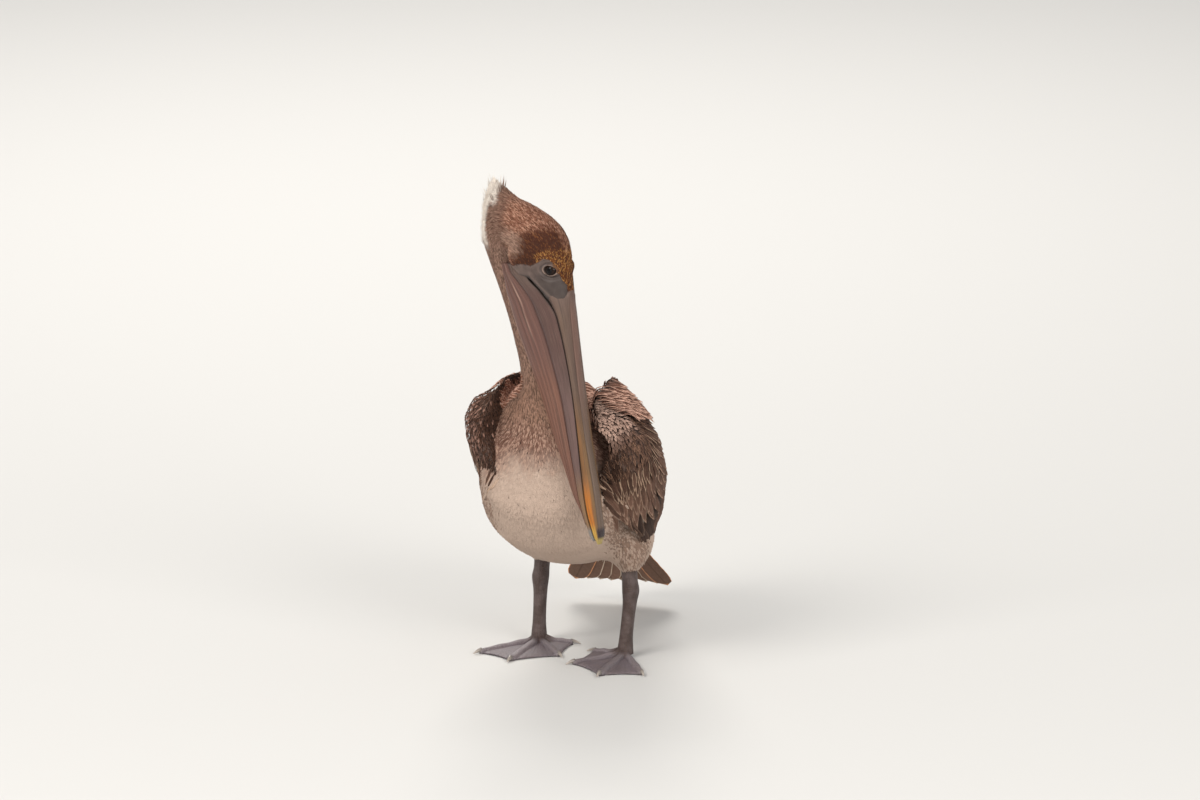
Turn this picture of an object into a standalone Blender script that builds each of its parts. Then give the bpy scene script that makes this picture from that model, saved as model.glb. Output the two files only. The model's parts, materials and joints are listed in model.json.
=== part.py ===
"""Immature brown pelican, standing at rest with its bill down: a still, life-size model.

Frame: metres, +Z up.  The bird faces -Y, its left side is +X, and its soles lie at Z = 0.
Sizes are millimetres until a mesh is made.  The flesh (head, neck, trunk, thighs) is modelled
whole from smooth tubes and then parted with thin cuts; the bill, pouch, wings, tail, legs and
feet are lofted against it, each a hair's breadth clear of what it touches.
"""

import math

import bmesh
import bpy
import numpy as np
from mathutils import Matrix, Vector

MM = 0.001
GAP = 0.3                      # clearance between touching pieces

# Place of the whole bird: its bounding box is centred on the Z axis
CENTRE_X = -3.4
CENTRE_Y = 42.1

# Head frame: s runs down the bill, d towards the culmen, r towards the bird's right cheek
BILL_ROOT = np.array([30.1, -124.8, 457.8])
BILL_TIP = np.array([72.6, -149.2, 171.1])
CULMEN_FACING = np.array([0.954, -0.273, 0.0])
BILL_LENGTH = float(np.linalg.norm(BILL_TIP - BILL_ROOT))
DOWN_BILL = (BILL_TIP - BILL_ROOT) / BILL_LENGTH
CULMEN = CULMEN_FACING - DOWN_BILL * (CULMEN_FACING @ DOWN_BILL)
CULMEN /= np.linalg.norm(CULMEN)
CHEEK = np.cross(DOWN_BILL, CULMEN)

# Trunk sections from the tail root to the neck root: back (y, z), belly (y, z), half width, centre x
TRUNK = [
    ((206, 98), (192, 82), 19, 0), ((190, 134), (150, 85), 33, 0), ((160, 190), (96, 96), 46, -1),
    ((122, 240), (38, 102), 63, -5), ((62, 292), (-22, 109), 79, -9), ((8, 316), (-72, 128), 90, -12),
    ((-32, 328), (-112, 165), 87, -13), ((-50, 334), (-130, 213), 72, -13), ((-54, 340), (-130, 260), 58, -10),
    ((-52, 346), (-118, 300), 46, -8), ((-52, 354), (-102, 330), 34, -12),
]
BELLY_FULLNESS = 2.4           # the lower half of a section is squarer than the upper
REAR_SWAY = 15.0               # sideways shift of the hind end, at y = 200
# Neck from the breast up to the arch: x, y, z, half width, half depth
NECK = [
    (-2, -62, 276, 40, 40), (-9, -74, 305, 33, 33), (-17, -75, 330, 29, 29), (-23.5, -72, 361, 27, 27),
    (-32, -69, 391, 26, 26), (-42.5, -69, 426, 25, 25), (-54, -71, 463, 25, 25),
    (-62.5, -76, 494, 26, 26), (-66, -84, 518, 27, 27), (-62, -92, 533, 27, 27),
]
# Head stations in the head frame from the arch to the face: s, d, half width, half depth
HEAD = [
    (-95, -73, 27, 27), (-85, -56, 27, 30), (-73, -43, 27, 34), (-60, -34.5, 26.5, 37),
    (-42, -27.5, 25, 31.5), (-22, -22, 22.5, 23), (6, -15.5, 19.5, 15.5),
]
CREST = [(-50, -97, 552, 15, 14), (-64, -94, 568, 11, 10), (-74, -91, 578, 7, 7), (-80, -89, 587, 2, 3)]
NAPE_RIDGE = [
    (-72, -84, 500, 8, 10), (-79, -86, 525, 9, 12), (-80, -88, 550, 9, 13), (-78, -89, 570, 7, 10),
    (-79, -89, 583, 3, 5),
]
THIGH_TOP = 150
THIGH_FOOT = 103

# Bill stations: s, half width, d of the culmen, of the gape, of the jaw's lower edge, of the pouch's edge
BILL = [
    (-46, 22, 4, -53, -78, -94), (-29, 21.5, 3, -44, -64, -93), (-12, 21, 1, -28.5, -52, -92.5),
    (0, 20, 0, -21, -46, -90), (14, 19, -1, -16, -42, -87.5), (35, 17, -1.5, -13.3, -37, -82.5),
    (75, 15, -2, -10.2, -30.5, -71), (120, 14, -2, -8.4, -24.5, -59), (160, 14, -1, -8.4, -22, -50),
    (207, 14.5, 1.5, -8.8, -18.5, -38), (235, 14.5, 2.8, -8.8, -16.5, -30), (256, 13, 3, -8.2, -14, -19.5),
    (270, 10.5, 3, -7, -12.5, -15), (282, 7.5, 2.5, -6, -11, -13), (290, 3.5, -0.5, -5, -8.5, -9.5),
]
NAIL_START = 271
UPPER_START, LOWER_START, POUCH_START = -22, -44, -44
UPPER_END, LOWER_END, POUCH_END = 290, 286, 264
BILL_STEP = 22                 # spacing of the lofted sections, shared so that faces meet evenly
CULMEN_SHOULDER = 5.5          # half width of the flat culmen between its two grooves

EYE_S, EYE_D, EYE_R, EYE_RADIUS = -37.0, -14.0, 16.5, 9.2

# Wing sections across the bird: y, top (x, z), bulge (x, z), lower edge (x, z), thickness
WING = [
    (-120, (58, 302), (82, 282), (57, 246), 10), (-113, (48, 315), (101, 287), (53, 222), 28),
    (-98, (45, 326), (111, 284), (63, 203), 40), (-75, (43, 330), (112, 266), (76, 181), 38),
    (-43, (41, 335), (110, 256), (85, 157), 32), (0, (38, 333), (104, 246), (84, 132), 26),
    (40, (28, 326), (89, 224), (69, 121), 21), (80, (17, 300), (75, 194), (57, 110), 17),
    (118, (10, 262), (64, 162), (51, 101), 13), (150, (8, 218), (51, 137), (42, 91), 11),
    (185, (7, 160), (38, 108), (33, 77), 9), (214, (6, 108), (24, 84), (25, 64), 6),
    (233, (7, 80), (15, 73), (18, 62), 3),
]
# The flank swells over the right wing's lower edge: y, rise of that edge, shift outward, shift of the top edge
RIGHT_WING = [(-120, 0, 10, 24), (-113, 6, 6, 28), (-98, 12, 2, 28), (-75, 20, 4, 30), (-43, 26, 8, 22), (0, 20, 12, 8),
              (40, 12, 14, 4), (80, 4, 12, 2), (150, 0, 0, 0)]
WING_CUTS = (-20, 118)         # y on the wing's middle line of each cut between feather groups
WING_GROUPS = ("coverts", "secondaries", "primaries")

# Tail fan: root and tip lines across the bird, then feather tips round the end
TAIL_ROOT = (172.0, 92.0)      # y, z
TAIL_TIP = (241.0, 23.0)
TAIL_HALF_ROOT, TAIL_HALF_TIP = 24.0, 70.0
TAIL_FEATHERS = 10
TAIL_THICKNESS = (9.0, 2.2)    # at the root, at the tips

# Feet: hub x, y and the bearing of the middle toe, degrees from -Y towards +X
FEET = {"right": (-57.0, 20.0, -4.0, -1), "left": (60.0, -14.0, -2.0, 1)}
TOES = {                       # bearing out from the middle toe, length without claw, half width
    "inner": (-41.0, 72.0, 4.6),
    "middle": (0.0, 95.0, 5.2),
    "outer": (32.0, 88.0, 4.8),
    "hind": (-98.0, 42.0, 4.0),
}
CLAW_LENGTH = 11.0
WEB_TOP, WEB_BOTTOM = 3.4, 0.9
ANKLE_HEIGHT = 80.0
ANKLES = {"right": (-56.0, 24.0), "left": (65.0, -8.0)}
HIPS = {"right": (-52.0, 20.0), "left": (62.0, -6.0)}

COLOURS = {                    # base colour, roughness
    "plumage_brown": ((0.145, 0.094, 0.060), 0.85),
    "plumage_head": ((0.235, 0.150, 0.090), 0.85),
    "plumage_white": ((0.620, 0.560, 0.480), 0.90),
    "bill_horn": ((0.330, 0.260, 0.225), 0.45),
    "pouch_skin": ((0.380, 0.200, 0.170), 0.55),
    "claw_horn": ((0.110, 0.100, 0.095), 0.40),
    "leg_skin": ((0.130, 0.115, 0.125), 0.60),
    "eye_gloss": ((0.040, 0.020, 0.010), 0.08),
}


# ------------------------------------------------------------------ helpers

def clear_scene():
    """Remove every object of the open file."""
    for item in list(bpy.data.objects):
        bpy.data.objects.remove(item, do_unlink=True)


def material(name):
    """Return the named plain material, made on first use."""
    found = bpy.data.materials.get(name)
    if found:
        return found
    colour, roughness = COLOURS[name]
    made = bpy.data.materials.new(name)
    made.use_nodes = True
    shader = made.node_tree.nodes["Principled BSDF"]
    shader.inputs["Base Color"].default_value = (*colour, 1.0)
    shader.inputs["Roughness"].default_value = roughness
    shader.inputs["Metallic"].default_value = 0.0
    return made


def on_head(s, d, r=0.0):
    """Place a head-frame point in the bird's frame."""
    return BILL_ROOT + s * DOWN_BILL + d * CULMEN + r * CHEEK


def spline(rows, count):
    """Read count rows, evenly by chord length, from a smooth curve through the given rows."""
    rows = np.asarray(rows, float)
    reach = np.concatenate([[0.0], np.cumsum(np.linalg.norm(np.diff(rows[:, :3], axis=0), axis=1))])
    slope = np.gradient(rows, reach, axis=0)
    place = np.linspace(0.0, reach[-1], count)
    index = np.clip(np.searchsorted(reach, place, side="right") - 1, 0, len(rows) - 2)
    step = (reach[index + 1] - reach[index])[:, None]
    t = (place[:, None] - reach[index][:, None]) / step
    start, end = rows[index], rows[index + 1]
    return ((2 * t**3 - 3 * t**2 + 1) * start + (t**3 - 2 * t**2 + t) * step * slope[index]
            + (3 * t**2 - 2 * t**3) * end + (t**3 - t**2) * step * slope[index + 1])


def loft(rings):
    """Join rings of equal length into a closed bmesh with flat ends."""
    bm = bmesh.new()
    rows = [[bm.verts.new(Vector(point) * MM) for point in ring] for ring in rings]
    for near, far in zip(rows, rows[1:]):
        for k in range(len(near)):
            after = (k + 1) % len(near)
            bm.faces.new((near[k], near[after], far[after], far[k]))
    bm.faces.new(rows[0])
    bm.faces.new(rows[-1])
    bmesh.ops.recalc_face_normals(bm, faces=bm.faces)
    return bm


def sway(y):
    """Return the sideways shift of the hind body at a place along the bird."""
    return -REAR_SWAY * (max(0.0, y) / 200.0) ** 1.5


def rounded(turn, fullness):
    """Return the cosine and sine of an angle, pushed out towards a rounded square."""
    power = 2.0 / fullness
    return (math.copysign(abs(math.cos(turn)) ** power, math.cos(turn)),
            math.copysign(abs(math.sin(turn)) ** power, math.sin(turn)))


def oval_tube(rows, count, sides, across):
    """Loft ovals along a path of x, y, z, half width (along across), half depth."""
    path = spline(rows, count)
    along = np.gradient(path[:, :3], axis=0)
    rings = []
    for row, tangent in zip(path, along):
        tangent = tangent / np.linalg.norm(tangent)
        side = across - tangent * (across @ tangent)
        side /= np.linalg.norm(side)
        deep = np.cross(tangent, side)
        turns = np.arange(sides) * 2 * math.pi / sides
        rings.append([row[:3] + side * row[3] * math.cos(a) + deep * row[4] * math.sin(a) for a in turns])
    return loft(rings)


def new_object(name, bm, material_name=None):
    """Turn a bmesh into an object of the scene and free it."""
    mesh = bpy.data.meshes.new(name)
    bm.to_mesh(mesh)
    bm.free()
    made = bpy.data.objects.new(name, mesh)
    bpy.context.scene.collection.objects.link(made)
    if material_name:
        mesh.materials.append(material(material_name))
    return made


def freeze(item):
    """Apply an object's modifiers and keep the result as its mesh."""
    bpy.context.view_layer.update()
    graph = bpy.context.evaluated_depsgraph_get()
    mesh = bpy.data.meshes.new_from_object(item.evaluated_get(graph))
    item.modifiers.clear()
    item.data = mesh


def boolean(item, other, operation="DIFFERENCE"):
    """Apply an exact Boolean of item with another object."""
    modifier = item.modifiers.new("Boolean", "BOOLEAN")
    modifier.operation = operation
    modifier.solver = "EXACT"
    modifier.object = other
    freeze(item)


def discard(*items):
    """Remove helper objects."""
    for item in items:
        bpy.data.objects.remove(item, do_unlink=True)


def join_bmeshes(parts):
    """Put several bmeshes into one, freeing the parts."""
    whole = bmesh.new()
    for part in parts:
        mesh = bpy.data.meshes.new("part")
        part.to_mesh(mesh)
        part.free()
        whole.from_mesh(mesh)
        bpy.data.meshes.remove(mesh)
    return whole


def islands(item, smallest=20.0):
    """Split an object into its closed bodies over a volume in cubic millimetres, largest first."""
    bm = bmesh.new()
    bm.from_mesh(item.data)
    bmesh.ops.triangulate(bm, faces=bm.faces)
    bm.faces.index_update()
    label = [0] * len(bm.faces)
    count = 0
    for seed in bm.faces:
        if label[seed.index]:
            continue
        count += 1
        label[seed.index] = count
        queue = [seed]
        while queue:
            for edge in queue.pop().edges:
                for face in edge.link_faces:
                    if not label[face.index]:
                        label[face.index] = count
                        queue.append(face)
    bodies = []
    for number in range(1, count + 1):
        body = bm.copy()
        body.faces.index_update()
        others = [face for face in body.faces if label[face.index] != number]
        bmesh.ops.delete(body, geom=others, context="FACES")
        volume = body.calc_volume(signed=True) / MM**3
        if volume > smallest:
            centre = sum((v.co for v in body.verts), Vector()) / len(body.verts) / MM
            bodies.append((volume, centre, body))
        else:
            body.free()
    bm.free()
    return sorted(bodies, key=lambda entry: -entry[0])


def disc(centre, normal, radius, thickness=GAP):
    """Return a thin round cutter, as a bmesh."""
    bm = bmesh.new()
    bmesh.ops.create_cone(bm, cap_ends=True, segments=40, radius1=radius * MM, radius2=radius * MM,
                          depth=thickness * MM)
    turn = Vector((0, 0, 1)).rotation_difference(Vector(normal)).to_matrix().to_4x4()
    bm.transform(Matrix.Translation(Vector(centre) * MM) @ turn)
    return bm


def grown(item, by=GAP):
    """Copy an object with its surface moved out by a distance."""
    bm = bmesh.new()
    bm.from_mesh(item.data)
    bm.normal_update()
    moved = [(v, v.co + v.normal * v.calc_shell_factor() * by * MM) for v in bm.verts]
    for vertex, place in moved:
        vertex.co = place
    return new_object("guide_grown", bm)


def keep_largest(item):
    """Keep only the biggest closed body of an object."""
    bodies = islands(item)
    bodies[0][2].to_mesh(item.data)
    for _, _, body in bodies:
        body.free()


def smooth_shading(item, angle=math.radians(40)):
    """Shade an object smooth with sharp edges past an angle."""
    item.data.shade_smooth()
    item.data.set_sharp_from_angle(angle=angle)


# ------------------------------------------------------------------ flesh

def thigh_rows(side):
    """Return the feathered thigh's path from the belly down to the ankle."""
    hip_x, hip_y = HIPS[side]
    lean = 1.0 if side == "left" else -1.0
    return [
        (hip_x - 6 * lean, hip_y + 10, THIGH_TOP, 34, 44), (hip_x - 2 * lean, hip_y + 5, 131, 29, 36),
        (hip_x, hip_y, 115, 21, 24), (hip_x + lean, hip_y - 2, THIGH_FOOT, 12, 13),
    ]


def trunk_loft(count, sides):
    """Loft the trunk through sections that run from the belly line up to the back line."""
    rows = spline([(centre_x + sway((back[0] + belly[0]) / 2), *back, *belly, half_width)
                   for back, belly, half_width, centre_x in TRUNK], count)
    rings = []
    for x, back_y, back_z, belly_y, belly_z, half_width in rows:
        middle = np.array([x, (back_y + belly_y) / 2, (back_z + belly_z) / 2])
        up = np.array([0.0, (back_y - belly_y) / 2, (back_z - belly_z) / 2])
        ring = []
        for k in range(sides):
            turn = 2 * math.pi * k / sides
            across, rise = rounded(turn, BELLY_FULLNESS if math.sin(turn) < 0 else 2.0)
            ring.append(middle + np.array([half_width * across, 0, 0]) + up * rise)
        rings.append(ring)
    return loft(rings)


def build_flesh():
    """Return the whole flesh as one closed object: trunk, neck, head, crest and thighs."""
    head = [(*on_head(s, d), half_width, half_depth) for s, d, half_width, half_depth in HEAD]
    x_axis = np.array([1.0, 0.0, 0.0])
    parts = [
        trunk_loft(28, 30),
        oval_tube(NECK + head, 44, 22, CHEEK),
        oval_tube(CREST, 7, 12, CHEEK),
        oval_tube(NAPE_RIDGE, 10, 12, CHEEK),
        oval_tube(thigh_rows("left"), 8, 18, x_axis),
        oval_tube(thigh_rows("right"), 8, 18, x_axis),
    ]
    flesh = new_object("guide_flesh", join_bmeshes(parts))
    remesh = flesh.modifiers.new("Remesh", "REMESH")
    remesh.mode = "VOXEL"
    remesh.voxel_size = 5.0 * MM
    smooth = flesh.modifiers.new("Smooth", "SMOOTH")
    smooth.factor = 0.5
    smooth.iterations = 4
    decimate = flesh.modifiers.new("Decimate", "DECIMATE")
    decimate.ratio = 0.063
    freeze(flesh)
    face_box = bmesh.new()
    bmesh.ops.create_cube(face_box, size=1.0)
    depth, height, width = 28.0, 92.0, 70.0
    outward = 0.858 * DOWN_BILL - 0.513 * CULMEN
    along = -0.513 * DOWN_BILL - 0.858 * CULMEN
    middle = on_head(0, 0) + along * (height / 2 - 26) + outward * depth / 2
    turn = Matrix((Vector(outward), Vector(along), Vector(np.cross(outward, along)))).transposed().to_4x4()
    face_box.transform(Matrix.Translation(Vector(middle) * MM) @ turn
                       @ Matrix.Diagonal((depth * MM, height * MM, width * MM, 1)))
    bmesh.ops.recalc_face_normals(face_box, faces=face_box.faces)
    cutter = new_object("guide_face_box", face_box)
    boolean(flesh, cutter)
    discard(cutter)
    keep_largest(flesh)
    return flesh


FLESH_CUTS = [                 # centre, normal, radius
    ((-60, -88, 510), (0.742, -0.1, 0.67), 56),             # head from neck
    ((-49, -69, 430), (-0.2, 0.0, 0.98), 40),               # upper from middle neck
    ((-32, -72, 366), (-0.25, 0.03, 0.97), 42),             # middle from lower neck
    ((-20, -82, 322), (-0.2, -0.25, 0.95), 66),             # neck from breast
    ((0, -52, 238), (0.0, -0.86, 0.51), 150),               # breast from trunk
    ((0, 128, 148), (0.0, 0.82, -0.57), 95),                # rump from trunk
]
FLESH_NODES = {                # a point near the middle of each part, and its material
    "head": ((-10, -110, 520), "plumage_head"),
    "neck_upper": ((-56, -72, 468), "plumage_head"),
    "neck_middle": ((-40, -70, 398), "plumage_brown"),
    "neck_lower": ((-27, -74, 345), "plumage_brown"),
    "breast": ((0, -110, 240), "plumage_white"),
    "trunk": ((0, 40, 210), "plumage_white"),
    "rump": ((0, 165, 112), "plumage_brown"),
}


def part_flesh(flesh, sockets):
    """Cut the flesh into its named parts and open the eye sockets."""
    cutter = new_object("guide_cuts", join_bmeshes([disc(*cut) for cut in FLESH_CUTS] + sockets))
    boolean(flesh, cutter)
    discard(cutter)
    bodies = islands(flesh)
    made = []
    for name, (anchor, finish) in FLESH_NODES.items():
        nearest = min(bodies, key=lambda entry: (entry[1] - Vector(anchor)).length)
        bodies.remove(nearest)
        made.append(new_object(name, nearest[2], finish))
    for _, _, body in bodies:
        body.free()
    discard(flesh)
    return made


# ------------------------------------------------------------------ bill, pouch and eyes

def bill_stations(start, end):
    """Read evenly spaced bill stations between two places along the bill from the smooth table."""
    rows = spline([(s, 0, 0, *rest) for s, *rest in BILL], 160)
    places = list(range(start, end, BILL_STEP)) + [end]
    columns = [np.interp(places, rows[:, 0], rows[:, k]) for k in range(3, 8)]
    return zip(places, *columns)


def upper_bill_loft():
    """Loft the upper mandible: a flat culmen between grooves, with sloping sides and a flat underside."""
    rings = []
    for s, half_width, top, gape, _, _ in bill_stations(UPPER_START, UPPER_END):
        shoulder = min(CULMEN_SHOULDER, half_width * 0.6)
        low, edge = gape + GAP / 2, gape + GAP / 2 + (top - gape) * 0.32
        near = [(top, 0), (top - 0.6, shoulder), (top - (top - edge) * 0.42, (shoulder + half_width) / 2),
                (edge, half_width), (low, half_width - 1.2)]
        far = [(d, -r) for d, r in reversed(near[1:])]
        rings.append([on_head(s, d, r) for d, r in near + far])
    return loft(rings)


def lower_bill_loft():
    """Loft the lower mandible, from under the gape to the jaw's lower edge."""
    rings = []
    for s, half_width, _, gape, jaw, _ in bill_stations(LOWER_START, LOWER_END):
        low, high = jaw + GAP / 2, gape - GAP / 2
        middle = (low + high) / 2
        near = [(high, half_width - 1.2), (middle, half_width - 0.4), (low, half_width - 2.6)]
        far = [(d, -r) for d, r in reversed(near)]
        rings.append([on_head(s, d, r) for d, r in near + far])
    return loft(rings)


def pouch_loft():
    """Loft the hanging pouch, which narrows from the jaw to its lower edge."""
    rings = []
    for s, half_width, _, _, jaw, edge in bill_stations(POUCH_START, POUCH_END):
        top = jaw - GAP / 2
        edge = min(edge, top - 2.0)
        near = [(top + (edge - top) * fall, max(half_width * share, 1.5))
                for fall, share in ((0.0, 0.88), (0.3, 0.8), (0.62, 0.55), (0.88, 0.3), (1.0, 0.1))]
        far = [(d, -r) for d, r in reversed(near)]
        rings.append([on_head(s, d, r) for d, r in near + far])
    return loft(rings)


def eye_ball(side, radius):
    """Return an eyeball of a radius on a side, +1 for the right, as a bmesh."""
    bm = bmesh.new()
    bmesh.ops.create_uvsphere(bm, u_segments=12, v_segments=8, radius=radius * MM)
    turn = Vector((0, 0, 1)).rotation_difference(Vector(CHEEK * side)).to_matrix().to_4x4()
    bm.transform(Matrix.Translation(Vector(on_head(EYE_S, EYE_D, side * EYE_R)) * MM) @ turn)
    return bm


def build_bill(body_guide):
    """Make the bill, its nail and the pouch, clear of the face."""
    upper = new_object("bill_upper", upper_bill_loft(), "bill_horn")
    lower = new_object("bill_lower", lower_bill_loft(), "bill_horn")
    pouch = new_object("pouch", pouch_loft(), "pouch_skin")
    for piece in (upper, lower, pouch):
        boolean(piece, body_guide)
        keep_largest(piece)
    slit = new_object("guide_slit", disc(on_head(NAIL_START, -8), DOWN_BILL, 30))
    boolean(upper, slit)
    discard(slit)
    bodies = islands(upper)
    bodies[0][2].to_mesh(upper.data)
    nail = new_object("bill_nail", bodies[1][2], "claw_horn")
    return [upper, lower, pouch, nail]


# ------------------------------------------------------------------ wings and tail

def wing_ring(row, side, samples=6):
    """Return a closed wing section: outer arc down from the top edge, inner arc back up."""
    y, top_x, top_z, bulge_x, bulge_z, low_x, low_z, thickness = row
    top, bulge, low = np.array([top_x, top_z]), np.array([bulge_x, bulge_z]), np.array([low_x, low_z])
    heart = np.array([0.0, (top_z + low_z) / 2])
    outer, inner = [], []
    for t in np.linspace(0.0, 1.0, samples):
        point = (1 - t) * (1 - 2 * t) * top + 4 * t * (1 - t) * bulge + t * (2 * t - 1) * low
        inward = (heart - point) / np.linalg.norm(heart - point)
        depth = thickness * (0.12 + 0.88 * math.sqrt(max(0.0, 4 * t * (1 - t))))
        outer.append(point)
        inner.append(point + inward * depth)
    loop = outer + inner[::-1]
    return [np.array([side * x + sway(y), y, z]) for x, z in loop]


def wing_rows(count, side=1):
    """Read wing stations at even steps along a wing."""
    places, *changes = zip(*RIGHT_WING)
    rows = []
    for y, top, bulge, low, thickness in WING:
        rise, out, top_out = [np.interp(y, places, change) if side < 0 else 0.0 for change in changes]
        rows.append((y, top[0] + top_out, top[1] + top_out * 0.25, bulge[0] + out, bulge[1] + rise * 0.35,
                     low[0] + out, low[1] + rise, thickness))
    return spline(rows, count)


def build_wing(side_name, body_guide):
    """Make one folded wing against the body and part it into its feather groups."""
    side = 1 if side_name == "left" else -1
    wing = new_object("guide_wing", loft([wing_ring(row, side) for row in wing_rows(15, side)]))
    boolean(wing, body_guide)
    keep_largest(wing)
    slits = []
    for y in WING_CUTS:
        row = min(wing_rows(60, side), key=lambda entry: abs(entry[0] - y))
        slits.append(disc((side * row[3], y, row[4]), (0, 0.86, -0.51), 170))
    cutter = new_object("guide_slits", join_bmeshes(slits))
    boolean(wing, cutter)
    discard(cutter)
    bodies = sorted(islands(wing)[:3], key=lambda entry: entry[1].y)
    discard(wing)
    return [new_object(f"wing_{side_name}_{name}", body, "plumage_brown")
            for name, (_, _, body) in zip(WING_GROUPS, bodies)]


def build_tail(guides):
    """Make the short fanned tail, its end scalloped by the feather tips."""
    columns = TAIL_FEATHERS * 2
    rings = []
    for step in np.linspace(0.0, 1.0, 5):
        upper, lower = [], []
        for k in range(columns + 1):
            u = 2 * k / columns - 1
            half = TAIL_HALF_ROOT + (TAIL_HALF_TIP - TAIL_HALF_ROOT) * step
            notch = 0.045 if step == 1.0 and k % 2 == 0 else 0.0
            reach = step * (1 - 0.16 * u * u) - notch
            y = TAIL_ROOT[0] + (TAIL_TIP[0] - TAIL_ROOT[0]) * reach
            z = TAIL_ROOT[1] + (TAIL_TIP[1] - TAIL_ROOT[1]) * reach + 5 * u * u * step
            thick = TAIL_THICKNESS[0] + (TAIL_THICKNESS[1] - TAIL_THICKNESS[0]) * step
            thick *= 1 - 0.55 * abs(u) ** 3
            x = half * u + sway(y)
            upper.append((x, y + thick * 0.35, z + thick * 0.5))
            lower.append((x, y - thick * 0.35, z - thick * 0.5))
        rings.append(upper + lower[::-1])
    tail = new_object("tail", loft(rings), "plumage_brown")
    for guide in guides:
        boolean(tail, guide)
        keep_largest(tail)
    return tail


# ------------------------------------------------------------------ legs and feet

def toe_line(side_name, toe, reach):
    """Return a point on a toe's middle line at a distance from the hub, and its direction."""
    hub_x, hub_y, bearing, side = FEET[side_name]
    offset, _, _ = TOES[toe]
    angle = math.radians(bearing + side * offset)
    way = np.array([math.sin(angle), -math.cos(angle), 0.0])
    return np.array([hub_x, hub_y, 0.0]) + way * reach, way


def foot_columns():
    """Return the fan's columns: bearing from the middle toe, reach, and each toe's own offset list."""
    order = sorted(TOES.items(), key=lambda entry: entry[1][0])
    columns = []
    for (_, near), (_, far) in zip(order, order[1:]):
        bearing, length, half_width = near
        for share, reach in ((-0.5, 0.97), (0.0, 1.0), (0.5, 0.97), (1.3, 0.89)):
            if share >= 0 or not columns:
                columns.append((bearing + math.degrees(half_width * share * 2 / length), length * reach))
        columns.append(((bearing + far[0]) / 2, (length + far[1]) / 2 * 0.84))
        turn = math.degrees(far[2] * 2 / far[1])
        columns += [(far[0] - turn * 1.3, far[1] * 0.89), (far[0] - turn * 0.5, far[1] * 0.97)]
    bearing, length, half_width = order[-1][1]
    columns += [(bearing, length), (bearing + math.degrees(half_width / length), length * 0.97)]
    return columns


def foot_fan(side_name):
    """Return the webbed sole as a fan of ridges (toes) and thin webs, flat under each toe."""
    hub_x, hub_y, heading, side = FEET[side_name]
    top_rows, bottom_rows = [], []
    for bearing, reach in foot_columns():
        top, bottom = [], []
        for share in (0.12, 0.4, 0.7, 0.88, 1.0):
            radius = share * reach
            gaps = [radius * abs(math.sin(math.radians(bearing - toe[0]))) / toe[2] for toe in TOES.values()]
            nearest = min(gaps)
            ridge = max(0.0, 1.0 - nearest * nearest)
            height = WEB_TOP + ridge * (6.2 - 3.0 * share)
            angle = math.radians(heading + side * bearing)
            x, y = hub_x + math.sin(angle) * radius, hub_y - math.cos(angle) * radius
            top.append((x, y, height))
            bottom.append((x, y, 0.0 if nearest < 1.02 else WEB_BOTTOM))
        top_rows.append(top)
        bottom_rows.append(bottom)
    return loft([top + bottom[::-1] for top, bottom in zip(top_rows, bottom_rows)])


def claw(side_name, toe):
    """Return one claw, a curved horn cone just clear of the toe's end."""
    _, length, half_width = TOES[toe]
    rings = []
    for share, width, height in ((0.0, 2.4, 4.6), (0.35, 2.1, 4.6), (0.7, 1.4, 3.4), (1.0, 0.4, 1.4)):
        centre, way = toe_line(side_name, toe, length + GAP + share * CLAW_LENGTH)
        across = np.array([-way[1], way[0], 0.0])
        ring = []
        for k in range(6):
            turn = 2 * math.pi * k / 6
            lift = height + width * 1.2 * math.sin(turn)
            ring.append(centre + across * width * math.cos(turn) + np.array([0, 0, max(0.2, lift)]))
        rings.append(ring)
    return loft(rings)


def build_foot(side_name):
    """Make one webbed foot as a single body and its four claws."""
    hub_x, hub_y, _, _ = FEET[side_name]
    foot = new_object(f"foot_{side_name}", foot_fan(side_name), "leg_skin")
    heel = [(hub_x, hub_y + 1, z, half, half + 2) for z, half in ((0.2, 9.5), (4, 11), (9, 10), (13.7, 8))]
    pad = new_object("guide_pad", oval_tube(heel, 4, 10, np.array([1.0, 0.0, 0.0])))
    boolean(foot, pad, "UNION")
    discard(pad)
    keep_largest(foot)
    claws = [new_object(f"claw_{side_name}_{toe}", claw(side_name, toe), "claw_horn") for toe in TOES]
    return [foot] + claws


def build_tarsus(side_name, body_guide):
    """Make the bare leg from the foot up to the ankle and into the thigh feathers."""
    hub_x, hub_y, _, _ = FEET[side_name]
    ankle_x, ankle_y = ANKLES[side_name]
    hip_x, hip_y = HIPS[side_name]
    shin = [(15, 0.0, 8.0, 10.5), (22, 0.1, 6.8, 9.6), (45, 0.45, 6.4, 9.2), (66, 0.8, 7.4, 10.4)]
    rows = [(hub_x + (ankle_x - hub_x) * share, hub_y + 1 + (ankle_y - hub_y) * share, z, half_width, half_depth)
            for z, share, half_width, half_depth in shin]
    rows += [(ankle_x, ankle_y, ANKLE_HEIGHT, 9.4, 12.0),
             ((ankle_x + hip_x) / 2, (ankle_y + hip_y) / 2, 96, 8.0, 10.0), (hip_x, hip_y, 118, 8.0, 9.0)]
    tarsus = new_object(f"tarsus_{side_name}", oval_tube(rows, 10, 10, np.array([1.0, 0.0, 0.0])), "leg_skin")
    boolean(tarsus, body_guide)
    bodies = islands(tarsus)
    lowest = min(bodies, key=lambda entry: entry[1].z)
    lowest[2].to_mesh(tarsus.data)
    return tarsus


# ------------------------------------------------------------------ assembly

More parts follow.
